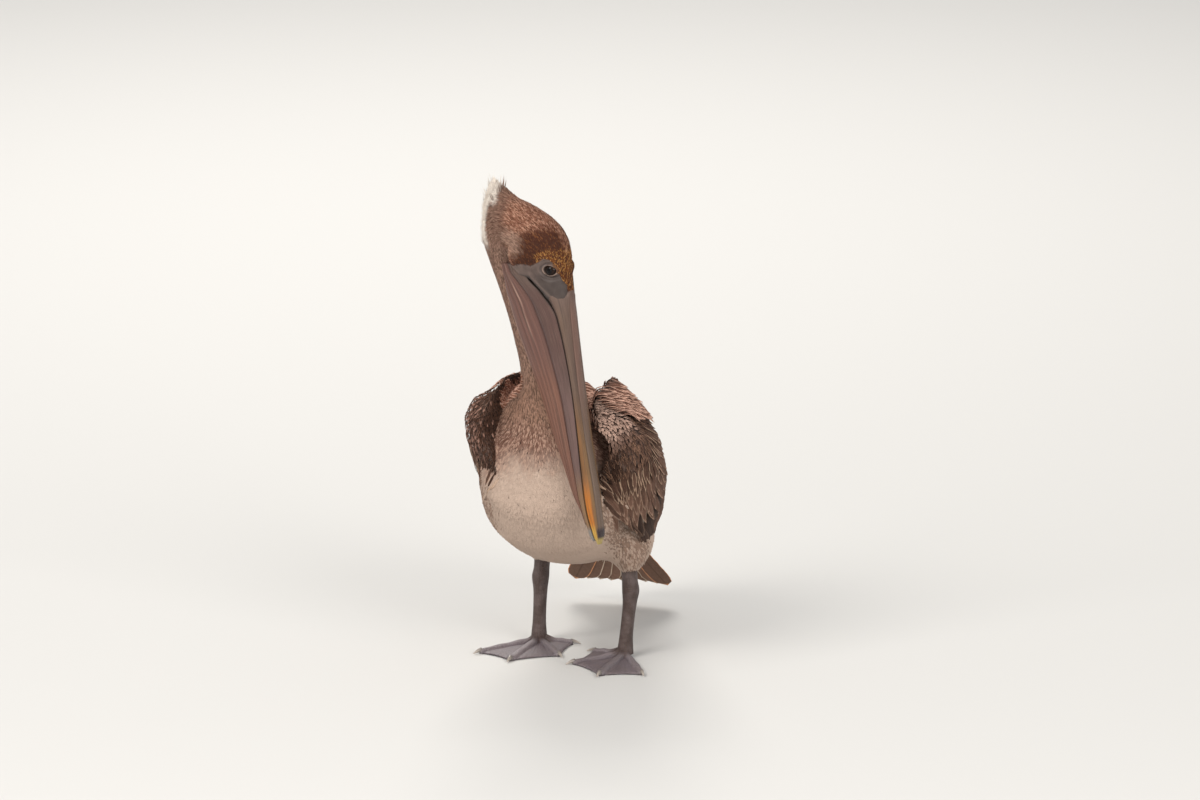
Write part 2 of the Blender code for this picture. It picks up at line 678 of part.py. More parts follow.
def main():
    """Build the bird and stand it on its reference point."""
    clear_scene()
    flesh = build_flesh()
    body_guide = grown(flesh)
    pieces = build_bill(body_guide)
    wings = build_wing("left", body_guide) + build_wing("right", body_guide)
    wing_guides = [grown(piece) for piece in wings if "primaries" in piece.name or "secondaries" in piece.name]
    pieces += wings + [build_tail([body_guide] + wing_guides)]
    for side_name in FEET:
        pieces.append(build_tarsus(side_name, body_guide))
        pieces += build_foot(side_name)
    discard(body_guide, *wing_guides)
    sockets = [eye_ball(side, EYE_RADIUS + GAP) for side in (1, -1)]
    pieces += part_flesh(flesh, sockets)
    pieces += [new_object(name, eye_ball(side, EYE_RADIUS), "eye_gloss")
               for name, side in (("eye_right", 1), ("eye_left", -1))]
    stand = bpy.data.objects.new("pelican", None)
    bpy.context.scene.collection.objects.link(stand)
    stand.location = (-CENTRE_X * MM, -CENTRE_Y * MM, 0.0)
    for piece in pieces:
        smooth_shading(piece)
        piece.parent = stand


main()
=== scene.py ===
"""Immature brown pelican at rest, life size: skin, plumage, bill, eyes, legs and studio.

Sizes are millimetres in the bird's own frame (it faces -Y, its left side is +X, soles at Z = 0)
until a mesh is made; Placement then moves them into the shared frame, in metres.
"""

import json
import logging
import math
from dataclasses import dataclass, field
from enum import IntEnum
from typing import Callable, Iterable, NamedTuple, Optional, Sequence, Union

import bmesh
import bpy
import numpy as np
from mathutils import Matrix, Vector, noise
from mathutils.bvhtree import BVHTree

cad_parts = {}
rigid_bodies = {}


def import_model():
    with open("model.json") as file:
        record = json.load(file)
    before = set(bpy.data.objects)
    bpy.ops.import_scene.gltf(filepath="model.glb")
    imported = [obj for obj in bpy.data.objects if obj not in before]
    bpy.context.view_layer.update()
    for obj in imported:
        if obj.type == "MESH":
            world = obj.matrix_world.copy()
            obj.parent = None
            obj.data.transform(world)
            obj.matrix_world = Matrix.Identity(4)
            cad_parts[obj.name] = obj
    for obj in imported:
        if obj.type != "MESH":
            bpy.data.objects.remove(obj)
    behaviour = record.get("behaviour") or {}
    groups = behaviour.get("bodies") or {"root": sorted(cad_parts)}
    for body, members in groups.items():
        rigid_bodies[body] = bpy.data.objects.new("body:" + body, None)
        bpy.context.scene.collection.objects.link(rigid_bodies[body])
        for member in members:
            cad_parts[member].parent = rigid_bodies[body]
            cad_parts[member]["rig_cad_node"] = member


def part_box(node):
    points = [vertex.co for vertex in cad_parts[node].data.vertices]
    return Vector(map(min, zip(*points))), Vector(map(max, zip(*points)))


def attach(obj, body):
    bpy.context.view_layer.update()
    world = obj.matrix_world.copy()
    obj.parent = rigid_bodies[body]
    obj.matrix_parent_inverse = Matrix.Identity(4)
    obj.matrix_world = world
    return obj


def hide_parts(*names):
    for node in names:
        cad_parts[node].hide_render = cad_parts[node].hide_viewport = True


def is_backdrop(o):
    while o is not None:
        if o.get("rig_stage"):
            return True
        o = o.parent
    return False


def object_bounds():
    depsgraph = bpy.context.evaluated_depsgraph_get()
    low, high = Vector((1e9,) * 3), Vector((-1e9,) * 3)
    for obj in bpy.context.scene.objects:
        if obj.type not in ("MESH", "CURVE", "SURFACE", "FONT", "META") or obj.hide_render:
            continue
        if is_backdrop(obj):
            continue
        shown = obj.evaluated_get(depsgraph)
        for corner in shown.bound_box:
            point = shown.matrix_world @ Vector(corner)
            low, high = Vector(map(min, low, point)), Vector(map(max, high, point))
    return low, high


LOG = logging.getLogger("pelican")
MM = 0.001
Array = np.ndarray
Keep = Callable[[Array, Array, Array], Array]
Colour = Scale = tuple[float, float, float]

UP = np.array([0.0, 0.0, 1.0])
FLESH = ("head", "neck_upper", "neck_middle", "neck_lower", "breast", "trunk", "rump")
WING_GROUPS = ("coverts", "secondaries", "primaries")


class Side(IntEnum):
    """The bird's own sides, as the sign of X."""

    LEFT = 1
    RIGHT = -1

    @property
    def word(self) -> str:
        """Name this side as the CAD nodes do."""
        return "left" if self is Side.LEFT else "right"


# ------------------------------------------------------------------ numbers and curves

def unit(vectors: Array) -> Array:
    """Scale vectors to length one along the last axis."""
    length = np.linalg.norm(vectors, axis=-1, keepdims=True)
    return vectors / np.maximum(length, 1e-9)


def smoothstep(low: float, high: float, value: Array) -> Array:
    """Ramp from 0 at low to 1 at high with soft ends."""
    t = np.clip((np.asarray(value, float) - low) / (high - low), 0.0, 1.0)
    return t * t * (3.0 - 2.0 * t)


def blend(first: Array, second: Array, share: Array) -> Array:
    """Mix two colours, or two sets of rows, by a share for each row."""
    share = np.asarray(share, float)[..., None]
    return np.asarray(first, float) * (1.0 - share) + np.asarray(second, float) * share


def spline(rows: Sequence[Sequence[float]], count: int) -> Array:
    """Read rows evenly, by the distance along their first three columns, from a smooth curve.

    Args:
        rows: stations of the curve, each x, y, z and any further values.
        count: how many rows to read.

    Returns:
        An array of count rows.
    """
    table = np.asarray(rows, float)
    gaps = np.linalg.norm(np.diff(table[:, :3], axis=0), axis=1)
    reach = np.concatenate([[0.0], np.cumsum(gaps)])
    slope = np.gradient(table, reach, axis=0)
    place = np.linspace(0.0, reach[-1], count)
    index = np.clip(np.searchsorted(reach, place, side="right") - 1, 0, len(table) - 2)
    step = (reach[index + 1] - reach[index])[:, None]
    t = (place[:, None] - reach[index][:, None]) / step
    near, far = table[index], table[index + 1]
    return ((2 * t**3 - 3 * t**2 + 1) * near + (t**3 - 2 * t**2 + t) * step * slope[index]
            + (3 * t**2 - 2 * t**3) * far + (t**3 - t**2) * step * slope[index + 1])


def ripple(points: Array, size: float, seed: float = 0.0) -> Array:
    """Return smooth noise from -1 to 1 at points in millimetres, for blotches of a size."""
    shift = Vector((seed * 17.3, seed * 5.1, -seed * 9.7))
    return np.array([noise.noise(Vector(point) / size + shift) for point in points])


# ------------------------------------------------------------------ the bird's frames and tables

@dataclass(frozen=True)
class HeadFrame:
    """Axes of the head: s runs down the bill, d towards the culmen, r to the right cheek."""

    root: Array = field(default_factory=lambda: np.array([30.1, -124.8, 457.8]))
    tip: Array = field(default_factory=lambda: np.array([72.6, -149.2, 171.1]))
    facing: Array = field(default_factory=lambda: np.array([0.954, -0.273, 0.0]))

    @property
    def down_bill(self) -> Array:
        """Unit vector from the forehead to the bill's tip."""
        return unit(self.tip - self.root)

    @property
    def culmen(self) -> Array:
        """Unit vector out of the ridge of the bill."""
        return unit(self.facing - self.down_bill * (self.facing @ self.down_bill))

    @property
    def cheek(self) -> Array:
        """Unit vector out of the right cheek."""
        return np.cross(self.down_bill, self.culmen)

    def place(self, s: Array, d: Array, r: Array) -> Array:
        """Turn head measures into points of the bird's frame."""
        s, d, r = (np.asarray(v, float)[..., None] for v in (s, d, r))
        return self.root + s * self.down_bill + d * self.culmen + r * self.cheek

    def read(self, points: Array) -> tuple[Array, Array, Array]:
        """Turn points into head measures s, d and r."""
        away = np.asarray(points, float) - self.root
        return away @ self.down_bill, away @ self.culmen, away @ self.cheek


HEAD = HeadFrame()
EYE_S, EYE_D, EYE_R = -37.0, -14.0, 16.5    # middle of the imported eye
BALL_R, BALL_RADIUS = 14.3, 8.8             # where the eyeball lies, under its lids
LID_RIM, LID_FALL = 9.0, 1.7                # where the lids meet the cheek, and how steeply they fall

# Bill stations: s, half width, d of the culmen, of the gape, of the jaw's edge, of the pouch's edge
BILL = [
    (-46, 22, 4, -53, -78, -94), (-29, 21.5, 3, -44, -64, -93), (-12, 21, 1, -28.5, -52, -92.5),
    (0, 20, 0, -21, -46, -90), (14, 19, -1, -16, -42, -87.5), (35, 17, -1.5, -13.3, -37, -82.5),
    (75, 15, -2, -10.2, -30.5, -71), (120, 14, -2, -8.4, -24.5, -59), (160, 14, -1, -8.4, -22, -50),
    (207, 14.5, 1.5, -8.8, -18.5, -38), (235, 14.5, 2.8, -8.8, -16.5, -30), (256, 13, 3, -8.2, -14, -19.5),
    (270, 10.5, 3, -7, -12.5, -15), (282, 7.5, 2.5, -6, -11, -13), (290, 3.5, -0.5, -5, -8.5, -9.5),
]


def bill_at(s: Array, column: int) -> Array:
    """Read one column of the bill's table at places along it."""
    table = np.array(BILL, float)
    return np.interp(s, table[:, 0], table[:, column])


def sway(y: float) -> float:
    """Return how far the body's middle has bent aside at a place along it."""
    return -15.0 * (max(0.0, y) / 200.0) ** 1.5


# The middle line of head and neck, from the face over the arch and down to the breast
HEAD_LINE = [(6, -15.5), (-22, -22), (-42, -27.5), (-60, -34.5), (-73, -43), (-85, -56), (-95, -73)]
NECK_LINE = [
    (-62, -92, 533), (-66, -84, 518), (-62.5, -76, 494), (-54, -71, 463), (-42.5, -69, 426), (-32, -69, 391),
    (-23.5, -72, 361), (-17, -75, 330), (-9, -74, 305), (-2, -62, 276),
]

# Outline of the bare skin of the face: s, d on either cheek
BARE_FACE = [
    (30, 14), (8, 10.5), (-2, 6.5), (-13, -0.5), (-24, -4), (-33, -6.0), (-42, -8.8), (-49, -13.5),
    (-51, -20),
    (-47.5, -26), (-43, -38.5), (-46, -52), (-44, -64), (-41, -80), (-41, -96), (30, -96),
]


class Placement:
    """Moves points of the bird's frame, in millimetres, into the shared frame, in metres."""

    def __init__(self) -> None:
        """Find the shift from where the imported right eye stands."""
        low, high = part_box("eye_right")
        middle = (np.array(low) + np.array(high)) / 2
        self.shift = middle - HEAD.place(EYE_S, EYE_D, EYE_R) * MM
        self.shift[2] = 0.0

    def out(self, points: Array) -> Array:
        """Return millimetre points in the shared frame."""
        return np.asarray(points, float) * MM + self.shift

    def back(self, points: Array) -> Array:
        """Return shared-frame points in millimetres of the bird's frame."""
        return (np.asarray(points, float) - self.shift) / MM


class BodyLine:
    """The path that plumage follows from the face, over the nape and down the neck."""

    def __init__(self) -> None:
        """Sample the path and its tangents."""
        head = [tuple(HEAD.place(s, d, 0.0)) for s, d in HEAD_LINE]
        self.points = spline(head + NECK_LINE, 160)[:, :3]
        self.tangents = unit(np.gradient(self.points, axis=0))
        steps = np.linalg.norm(np.diff(self.points, axis=0), axis=1)
        self.reach = np.concatenate([[0.0], np.cumsum(steps)])

    def near(self, points: Array) -> tuple[Array, Array, Array]:
        """Find the closest place on the path.

        Args:
            points: places to ask about, in millimetres.

        Returns:
            The tangent there, the distance along the path and the distance to it.
        """
        away = np.linalg.norm(points[:, None, :] - self.points[None], axis=2)
        index = away.argmin(axis=1)
        return self.tangents[index], self.reach[index], away[np.arange(len(points)), index]


def inside(outline: Sequence[tuple[float, float]], a: Array, b: Array) -> Array:
    """Tell which places (a, b) lie within an outline."""
    hit = np.zeros(len(a), bool)
    for (a0, b0), (a1, b1) in zip(outline, list(outline[1:]) + [outline[0]]):
        crosses = (b0 > b) != (b1 > b)
        hit ^= crosses & (a < (a1 - a0) * (b - b0) / ((b1 - b0) or 1e-9) + a0)
    return hit


def outline_gap(outline: Sequence[tuple[float, float]], a: Array, b: Array) -> Array:
    """Return the distance from places (a, b) to an outline's edges."""
    best = np.full(len(a), 1e9)
    places = np.stack([a, b], axis=1)
    corners = [np.array(corner, float) for corner in outline]
    for near, far in zip(corners, corners[1:] + corners[:1]):
        along = far - near
        share = np.clip(((places - near) @ along) / (along @ along), 0.0, 1.0)
        best = np.minimum(best, np.linalg.norm(places - near - share[:, None] * along, axis=1))
    return best


# ------------------------------------------------------------------ markings

@dataclass(frozen=True)
class Palette:
    """Colours of the bird, linear."""

    crown: Colour = (0.250, 0.112, 0.072)
    crown_pale: Colour = (0.500, 0.285, 0.195)
    crown_dark: Colour = (0.085, 0.030, 0.018)
    brow: Colour = (0.058, 0.021, 0.012)
    gold: Colour = (0.560, 0.275, 0.080)
    rust: Colour = (0.230, 0.078, 0.020)
    neck: Colour = (0.255, 0.150, 0.112)
    neck_pale: Colour = (0.500, 0.325, 0.245)
    crest: Colour = (0.900, 0.830, 0.750)
    breast: Colour = (0.200, 0.110, 0.082)
    belly: Colour = (0.470, 0.358, 0.290)
    belly_shade: Colour = (0.430, 0.322, 0.260)
    flank: Colour = (0.150, 0.078, 0.048)
    mantle: Colour = (0.140, 0.062, 0.040)
    mantle_rim: Colour = (0.560, 0.340, 0.260)
    covert: Colour = (0.034, 0.016, 0.010)
    covert_rim: Colour = (0.330, 0.185, 0.118)
    wing_bend: Colour = (0.520, 0.345, 0.275)
    median: Colour = (0.085, 0.044, 0.030)
    median_rim: Colour = (0.500, 0.340, 0.240)
    greater: Colour = (0.135, 0.074, 0.052)
    greater_rim: Colour = (0.370, 0.240, 0.175)
    flight: Colour = (0.060, 0.034, 0.025)
    flight_rim: Colour = (0.170, 0.105, 0.075)
    tail: Colour = (0.190, 0.112, 0.080)
    tail_rim: Colour = (0.800, 0.640, 0.500)
    tail_side: Colour = (0.720, 0.330, 0.160)
    bare_skin: Colour = (0.115, 0.075, 0.062)
    bare_pale: Colour = (0.215, 0.150, 0.125)
    leg: Colour = (0.050, 0.027, 0.021)
    leg_pale: Colour = (0.086, 0.052, 0.042)
    web: Colour = (0.150, 0.122, 0.136)
    # Painted light: the toes' paler tone stands for light on their raised tops
    toe: Colour = (0.250, 0.215, 0.225)
    buff: Colour = (0.300, 0.165, 0.108)
    lid: Colour = (0.520, 0.360, 0.280)
    # Painted shade: the crease round the eye's lids
    crease: Colour = (0.045, 0.032, 0.030)
    shadow: Colour = (0.012, 0.008, 0.007)
    # Painted shadow: near black along the gape's line, the shade of the mouth's crease
    gape: Colour = (0.010, 0.006, 0.005)
    coverlet: Colour = (0.250, 0.150, 0.115)
    coverlet_rim: Colour = (0.340, 0.190, 0.145)


PALETTE = Palette()


class Markings:
    """Works out the plumage's colour anywhere on the bird, for the skin and the coat alike."""

    def __init__(self, line: BodyLine) -> None:
        """Keep the body line that the markings are measured from."""
        self.line = line

    def tone(self, points: Array, seed: int) -> Array:
        """Colour places of the plumage.

        Args:
            points: places on the bird, in millimetres.
            seed: seed of the speckle, which differs between skin and coats.

        Returns:
            One linear colour for each place.
        """
        rng = np.random.default_rng(seed)
        draw = rng.random(len(points))
        s, d, r = HEAD.read(points)
        _, reach, _ = self.line.near(points)
        x, _, z = points.T
        blotch = ripple(points, 14.0, 1.0)
        fine = ripple(points, 4.0, 2.0)

        rows = self._head(draw, s, d, r, fine)
        neck = self._neck(points, draw, blotch)
        nape = smoothstep(-56, -72, d + 6 * blotch) * smoothstep(-62, -76, s)
        rows = blend(rows, neck * np.array([0.62, 0.58, 0.56]), nape * 0.9)
        rows = blend(rows, neck, smoothstep(112, 150, reach + 10 * blotch))
        ear = np.linalg.norm(points - HEAD.place(-70, -60, 24), axis=1)
        rows = blend(rows, PALETTE.neck_pale, smoothstep(22, 8, ear + 6 * fine) * (0.3 + 0.5 * draw))
        trunk = self._trunk(points, draw, blotch, fine)
        rows = blend(rows, trunk, smoothstep(318, 285, z + 12 * blotch))
        crest = smoothstep(-77, -83, x + 2 * fine) * smoothstep(500, 522, z) * smoothstep(612, 600, z)
        crown_crest = smoothstep(556, 566, z + 4 * fine) * smoothstep(-62, -72, x)
        rows = blend(rows, PALETTE.crest, np.clip(crest + crown_crest, 0, 1) * (0.7 + 0.3 * draw))
        return np.clip(rows, 0.004, 0.95)

    @staticmethod
    def _head(draw: Array, s: Array, d: Array, r: Array, fine: Array) -> Array:
        """Colour the crown, brow and the golden feathers by the eye."""
        p = PALETTE
        rows = blend(p.crown, p.crown_pale, (draw > 0.76) * 0.75)
        rows = blend(rows, p.crown_dark, (draw < 0.32) * 0.7)
        gap = outline_gap(BARE_FACE[1:13], s, d)
        cheek = smoothstep(4, 10, np.abs(r))
        brow = smoothstep(44, 28, gap + 5 * fine) * cheek * smoothstep(-70, -58, d) * smoothstep(-90, -78, s)
        dark = blend(p.brow, p.crown_dark, draw)
        rows = blend(rows, blend(dark, p.rust, (draw > 0.84) * 0.5), brow * 0.95)
        lore = smoothstep(13, 5, gap + 3 * fine) * smoothstep(-62, -52, s) * smoothstep(-34, -26, d)
        ridge = smoothstep(-66, -48, s + 5 * fine) * smoothstep(-24, -13, d)
        gold = np.clip(lore * cheek + ridge * 0.95, 0, 1)
        bright = np.where(draw[:, None] > 0.80, p.gold, p.rust)
        return blend(rows, np.where(draw[:, None] > 0.45, bright, p.crown_dark), gold * 0.92)

    @staticmethod
    def _neck(points: Array, draw: Array, blotch: Array) -> Array:
        """Colour the neck: mauve brown with paler tips, golden buff low in front."""
        p = PALETTE
        _, y, z = points.T
        rows = blend(p.neck, p.neck_pale, np.clip((draw > 0.70) * 0.4 + 0.15 * blotch, 0, 1))
        rows = blend(rows, np.array(p.neck) * 0.5, (draw < 0.24) * 0.8)
        buff = smoothstep(380, 330, z) * smoothstep(-80, -100, y)
        return blend(rows, p.buff, buff * (0.2 + 0.4 * (draw > 0.5)))

    @staticmethod
    def _outwards(x: Array) -> Array:
        """Measure outwards from the keel, which lies a little right of the middle."""
        return np.where(x > 0, x, -x - 10)

    @classmethod
    def flank_gap(cls, points: Array) -> Array:
        """Measure how far places lie from the mottled line below the wing and over the thigh."""
        start, end = np.array([70.0, -88.0, 196.0]), np.array([77.0, -28.0, 128.0])
        place = np.stack([cls._outwards(points[:, 0]), points[:, 1], points[:, 2]], axis=1) - start
        share = np.clip(place @ (end - start) / ((end - start) @ (end - start)), 0, 1)
        return np.linalg.norm(place - share[:, None] * (end - start), axis=1)

    def _trunk(self, points: Array, draw: Array, blotch: Array, fine: Array) -> Array:
        """Colour the trunk: brown breast and back, cream belly and mottled flanks."""
        p = PALETTE
        x, y, z = points.T
        cream = blend(p.belly, p.belly_shade, np.clip(0.20 + 0.2 * blotch + 0.35 * (draw - 0.5), 0, 1))
        breast = blend(p.breast, p.neck_pale, (draw > 0.64) * 0.6)
        breast = blend(breast, p.crown_dark, (draw < 0.24) * 0.5)
        shoulder = 26 * smoothstep(36, 66, self._outwards(x))
        front = smoothstep(238, 285, z + shoulder + 9 * blotch + 10 * (draw - 0.5))
        rows = blend(cream, breast, front)
        flank = smoothstep(34, 12, self.flank_gap(points) + 6 * blotch)
        mottled = np.array(p.flank) * (0.7 + draw[:, None])
        rows = blend(rows, mottled, np.where(draw < flank * 0.6 + 0.2 * fine * flank, 0.66, 0.16 * flank))
        back = smoothstep(-4, 26, y * 0.35 + (z - 262 + y * 0.85))
        rows = blend(rows, blend(p.mantle, p.flank, draw), back)
        vent = smoothstep(110, 150, y) * smoothstep(0, -14, z - 200 + y * 0.55)
        return blend(rows, mottled, vent * 0.55)


# ------------------------------------------------------------------ shader graph

class Wire:
    """A number in a shader, whose arithmetic adds Math nodes."""

    def __init__(self, graph: "Graph", socket: bpy.types.NodeSocket) -> None:
        """Wrap an output socket of a graph."""
        self.graph, self.socket = graph, socket

    def _math(self, operation: str, first: object, second: object = None, clamp: bool = False) -> "Wire":
        """Add one Math node."""
        values = {0: first} if second is None else {0: first, 1: second}
        node = self.graph.node("ShaderNodeMath", {"operation": operation, "use_clamp": clamp}, values)
        return Wire(self.graph, node.outputs[0])

    def __add__(self, other: object) -> "Wire":
        """Add."""
        return self._math("ADD", self, other)

    def __sub__(self, other: object) -> "Wire":
        """Subtract."""
        return self._math("SUBTRACT", self, other)

    def __rsub__(self, other: object) -> "Wire":
        """Subtract from a number."""
        return self._math("SUBTRACT", other, self)

    def __mul__(self, other: object) -> "Wire":
        """Multiply."""
        return self._math("MULTIPLY", self, other)

    def __truediv__(self, other: object) -> "Wire":
        """Divide."""
        return self._math("DIVIDE", self, other)

    __radd__ = __add__
    __rmul__ = __mul__

    def absolute(self) -> "Wire":
        """Drop the sign."""
        return self._math("ABSOLUTE", self)

    def sine(self) -> "Wire":
        """Take the sine."""
        return self._math("SINE", self)

    def clamped(self) -> "Wire":
        """Keep within 0 and 1."""
        return self._math("MULTIPLY", self, 1.0, clamp=True)

    def ramp(self, low: float, high: float) -> "Wire":
        """Rise smoothly from 0 at low to 1 at high."""
        node = self.graph.node("ShaderNodeMapRange", {"interpolation_type": "SMOOTHSTEP"},
                               {"Value": self, "From Min": low, "From Max": high})
        return Wire(self.graph, node.outputs["Result"])


class Graph:
    """A material's node tree, built by one method for every kind of node."""

    def __init__(self, name: str, roughness: float) -> None:
        """Start a material with an empty Principled surface."""
        self.material = bpy.data.materials.new(name)
        self.material.use_nodes = True
        self.tree = self.material.node_tree
        self.shader = self.tree.nodes["Principled BSDF"]
        self.shader.inputs["Roughness"].default_value = roughness

    def node(self, kind: str, settings: dict, values: dict) -> bpy.types.Node:
        """Add a node.

        Args:
            kind: the node's type name.
            settings: properties set before the sockets.
            values: socket name or number to a value, a socket or a Wire.

        Returns:
            The new node.
        """
        made = self.tree.nodes.new(kind)
        for name, value in settings.items():
            setattr(made, name, value)
        for name, value in values.items():
            self.feed(made.inputs[name], value)
        return made

    def feed(self, socket: bpy.types.NodeSocket, value: object) -> None:
        """Link or set one input socket."""
        if isinstance(value, Wire):
            value = value.socket
        if isinstance(value, bpy.types.NodeSocket):
            self.tree.links.new(value, socket)
        elif socket.type == "RGBA" and len(value) == 3:
            socket.default_value = (*value, 1.0)
        else:
            socket.default_value = value

    def attribute(self, name: str) -> bpy.types.NodeSocket:
        """Read a colour attribute of the piece."""
        return self.node("ShaderNodeAttribute", {"attribute_name": name}, {}).outputs["Color"]

    def factor(self, name: str) -> Wire:
        """Read a number attribute of the piece."""
        return Wire(self, self.node("ShaderNodeAttribute", {"attribute_name": name}, {}).outputs["Fac"])

    def across(self, name: str) -> tuple[Wire, Wire]:
        """Read a UV map as two numbers."""
        uv = self.node("ShaderNodeUVMap", {"uv_map": name}, {}).outputs["UV"]
        split = self.node("ShaderNodeSeparateXYZ", {}, {0: uv})
        return Wire(self, split.outputs[0]), Wire(self, split.outputs[1])

    def _stretched(self, scale: Scale, uv: Optional[str]) -> bpy.types.NodeSocket:
        """Return Object coordinates, or a UV map, stretched by a scale for each axis."""
        if uv:
            place = self.node("ShaderNodeUVMap", {"uv_map": uv}, {}).outputs["UV"]
        else:
            place = self.node("ShaderNodeTexCoord", {}, {}).outputs["Object"]
        return self.node("ShaderNodeMapping", {}, {"Vector": place, "Scale": scale}).outputs[0]

    def noise(self, scale: Union[float, Scale], detail: float = 2.0, uv: Optional[str] = None) -> Wire:
        """Read noise on Object coordinates, or on a UV map, at one scale or one for each axis."""
        place = self._stretched(scale if isinstance(scale, tuple) else (scale, scale, scale), uv)
        node = self.node("ShaderNodeTexNoise", {}, {"Vector": place, "Scale": 1.0, "Detail": detail})
        return Wire(self, node.outputs[0])

    def cells(self, uv: str) -> Wire:
        """Read the distance to the edges of scale-like cells on a UV map."""
        node = self.node("ShaderNodeTexVoronoi", {"feature": "DISTANCE_TO_EDGE", "voronoi_dimensions": "2D"},
                         {"Vector": self._stretched((1.0, 1.0, 1.0), uv), "Scale": 1.0, "Randomness": 0.7})
        return Wire(self, node.outputs[0])

    def mix(self, share: object, first: object, second: object, how: str = "MIX") -> bpy.types.NodeSocket:
        """Blend two colours."""
        node = self.node("ShaderNodeMix", {"data_type": "RGBA", "blend_type": how},
                         {0: share, 6: first, 7: second})
        return node.outputs[2]

    def paint(self, colour: object, roughness: object = None) -> None:
        """Feed the surface's colour and, if given, its roughness."""
        self.feed(self.shader.inputs["Base Color"], colour)
        if roughness is not None:
            self.feed(self.shader.inputs["Roughness"], roughness)

    def gloss(self, level: float) -> None:
        """Set how strongly the surface mirrors."""
        self.shader.inputs["Specular IOR Level"].default_value = level

    def relief(self, height: Wire, depth: float, strength: float) -> None:
        """Bump the surface by a height, over a depth in metres."""
        bump = self.node("ShaderNodeBump", {}, {"Strength": strength, "Distance": depth, "Height": height})
        self.tree.links.new(bump.outputs[0], self.shader.inputs["Normal"])


# ------------------------------------------------------------------ finishes

@dataclass(frozen=True)
class FeatherFinish:
    """Matte feather: a tone in the middle, a rim of another, a shaft and fine barbs."""

    name: str
    rim_start: float = 0.62
    tip_start: float = 0.80
    barbs: float = 60.0
    barb_slant: float = 0.22
    shaft: float = 0.35
    # Painted shade: how dark the feather is at its root, where other feathers overlap it
    root: float = 0.62
    contrast: float = 1.0
    roughness: float = 0.78

    def build(self) -> bpy.types.Material:
        """Make the material from the piece's tone and rim attributes and its Vane map."""
        graph = Graph(self.name, self.roughness)
        u, v = graph.across("Vane")
        side = ((u - 0.5) * 2.0).absolute()
        edge = (side.ramp(self.rim_start, 0.97) + v.ramp(self.tip_start, 0.985)).clamped()
        grain = graph.noise(260.0, 3.0)
        hair = graph.noise(1400.0, 2.0)
        edge = (edge * (0.55 + grain * 0.9)).clamped()
        colour = graph.mix(edge, graph.attribute("tone"), graph.attribute("rim"))
        barb = ((v - side * self.barb_slant) * self.barbs * 6.283).sine()
        shade = 1.0 - self.shaft * (1.0 - side.ramp(0.02, 0.10)) + barb * (0.05 * self.contrast)
        # Painted shade: the feather darkens towards its root, under the feathers that overlap it
        fade = self.root + v.ramp(0.0, 0.45) * (1 - self.root)
        shade = shade * (1.0 + (grain + hair - 1.0) * (0.5 * self.contrast)) * fade
        grey = graph.node("ShaderNodeCombineColor", {}, {0: shade, 1: shade, 2: shade})
        graph.paint(graph.mix(1.0, colour, grey.outputs[0], "MULTIPLY"))
        graph.gloss(0.14)
        graph.relief(barb * 0.5 + grain + hair, 0.0004, 0.5)
        return graph.material


@dataclass(frozen=True)
class SkinFinish:
    """Skin under the plumage and on the bare face, from a tone attribute."""

    name: str = "bare_and_covered_skin"

    def build(self) -> bpy.types.Material:
        """Make the material."""
        graph = Graph(self.name, 0.75)
        bare = graph.factor("bare")
        wrinkle = graph.noise(700.0, 4.0)
        broad = graph.noise(120.0, 3.0)
        creased = (wrinkle * 0.5 + broad * 0.3).clamped()
        tone = graph.mix(creased, graph.attribute("tone"), (0.03, 0.02, 0.018))
        graph.paint(tone, 0.85 - bare * 0.33)
        graph.relief(wrinkle + broad, 0.0006, 0.6)
        return graph.material


@dataclass(frozen=True)
class HornFinish:
    """Horn of the bill: a painted tone with fine lengthwise grain."""

    name: str
    grain: Scale = (46.0, 5.0, 1.0)
    depth: float = 0.0005
    roughness: float = 0.42

    def build(self) -> bpy.types.Material:
        """Make the material from the tone attribute and the Bill map."""
        graph = Graph(self.name, self.roughness)
        streak = graph.noise(self.grain, 5.0, "Bill")
        hair = graph.noise((self.grain[0] * 4, self.grain[1] * 2, 1.0), 3.0, "Bill")
        spot = graph.noise(420.0, 2.0)
        streaked = (streak.ramp(0.42, 0.72) * 0.55).clamped()
        dark = graph.mix(streaked, graph.attribute("tone"), (0.05, 0.035, 0.03))
        tone = graph.mix((hair.ramp(0.55, 0.75) * 0.22).clamped(), dark, (0.46, 0.33, 0.25))
        graph.paint(tone, self.roughness - 0.1 + spot * 0.25)
        graph.relief(streak * 0.8 + hair * 0.5 + spot * 0.2, self.depth, 0.7)
        graph.gloss(0.25)
        return graph.material


@dataclass(frozen=True)
class ScaleFinish:
    """Scaly skin of legs, toes and webs."""

    name: str = "scaly_leg_skin"

    def build(self) -> bpy.types.Material:
        """Make the material from the tone attribute and the Scale map."""
        graph = Graph(self.name, 0.5)
        cell = graph.cells("Scale")
        crease = 1.0 - cell.ramp(0.02, 0.16)
        broad = graph.noise(90.0, 4.0)
        tone = graph.mix((crease * 0.45).clamped(), graph.attribute("tone"), (0.03, 0.024, 0.026))
        tone = graph.mix(broad.ramp(0.35, 0.7) * 0.30, tone, (0.21, 0.165, 0.16))
        graph.paint(tone, 0.42 + broad * 0.25)
        graph.relief(cell.ramp(0.0, 0.3) + broad * 0.6, 0.0005, 0.7)
        return graph.material


@dataclass(frozen=True)
class PlainFinish:
    """A smooth finish of one colour, or of the piece's tone attribute if it is painted."""

    name: str
    colour: Colour = (0.5, 0.5, 0.5)
    roughness: float = 0.5
    coat: float = 0.0
    gloss: float = 0.5
    painted: bool = False
    coat_roughness: float = 0.03

    def build(self) -> bpy.types.Material:
        """Make the material."""
        graph = Graph(self.name, self.roughness)
        graph.paint(graph.attribute("tone") if self.painted else self.colour)
        graph.gloss(self.gloss)
        graph.shader.inputs["Coat Weight"].default_value = self.coat
        graph.shader.inputs["Coat Roughness"].default_value = self.coat_roughness
        return graph.material


# ------------------------------------------------------------------ meshes

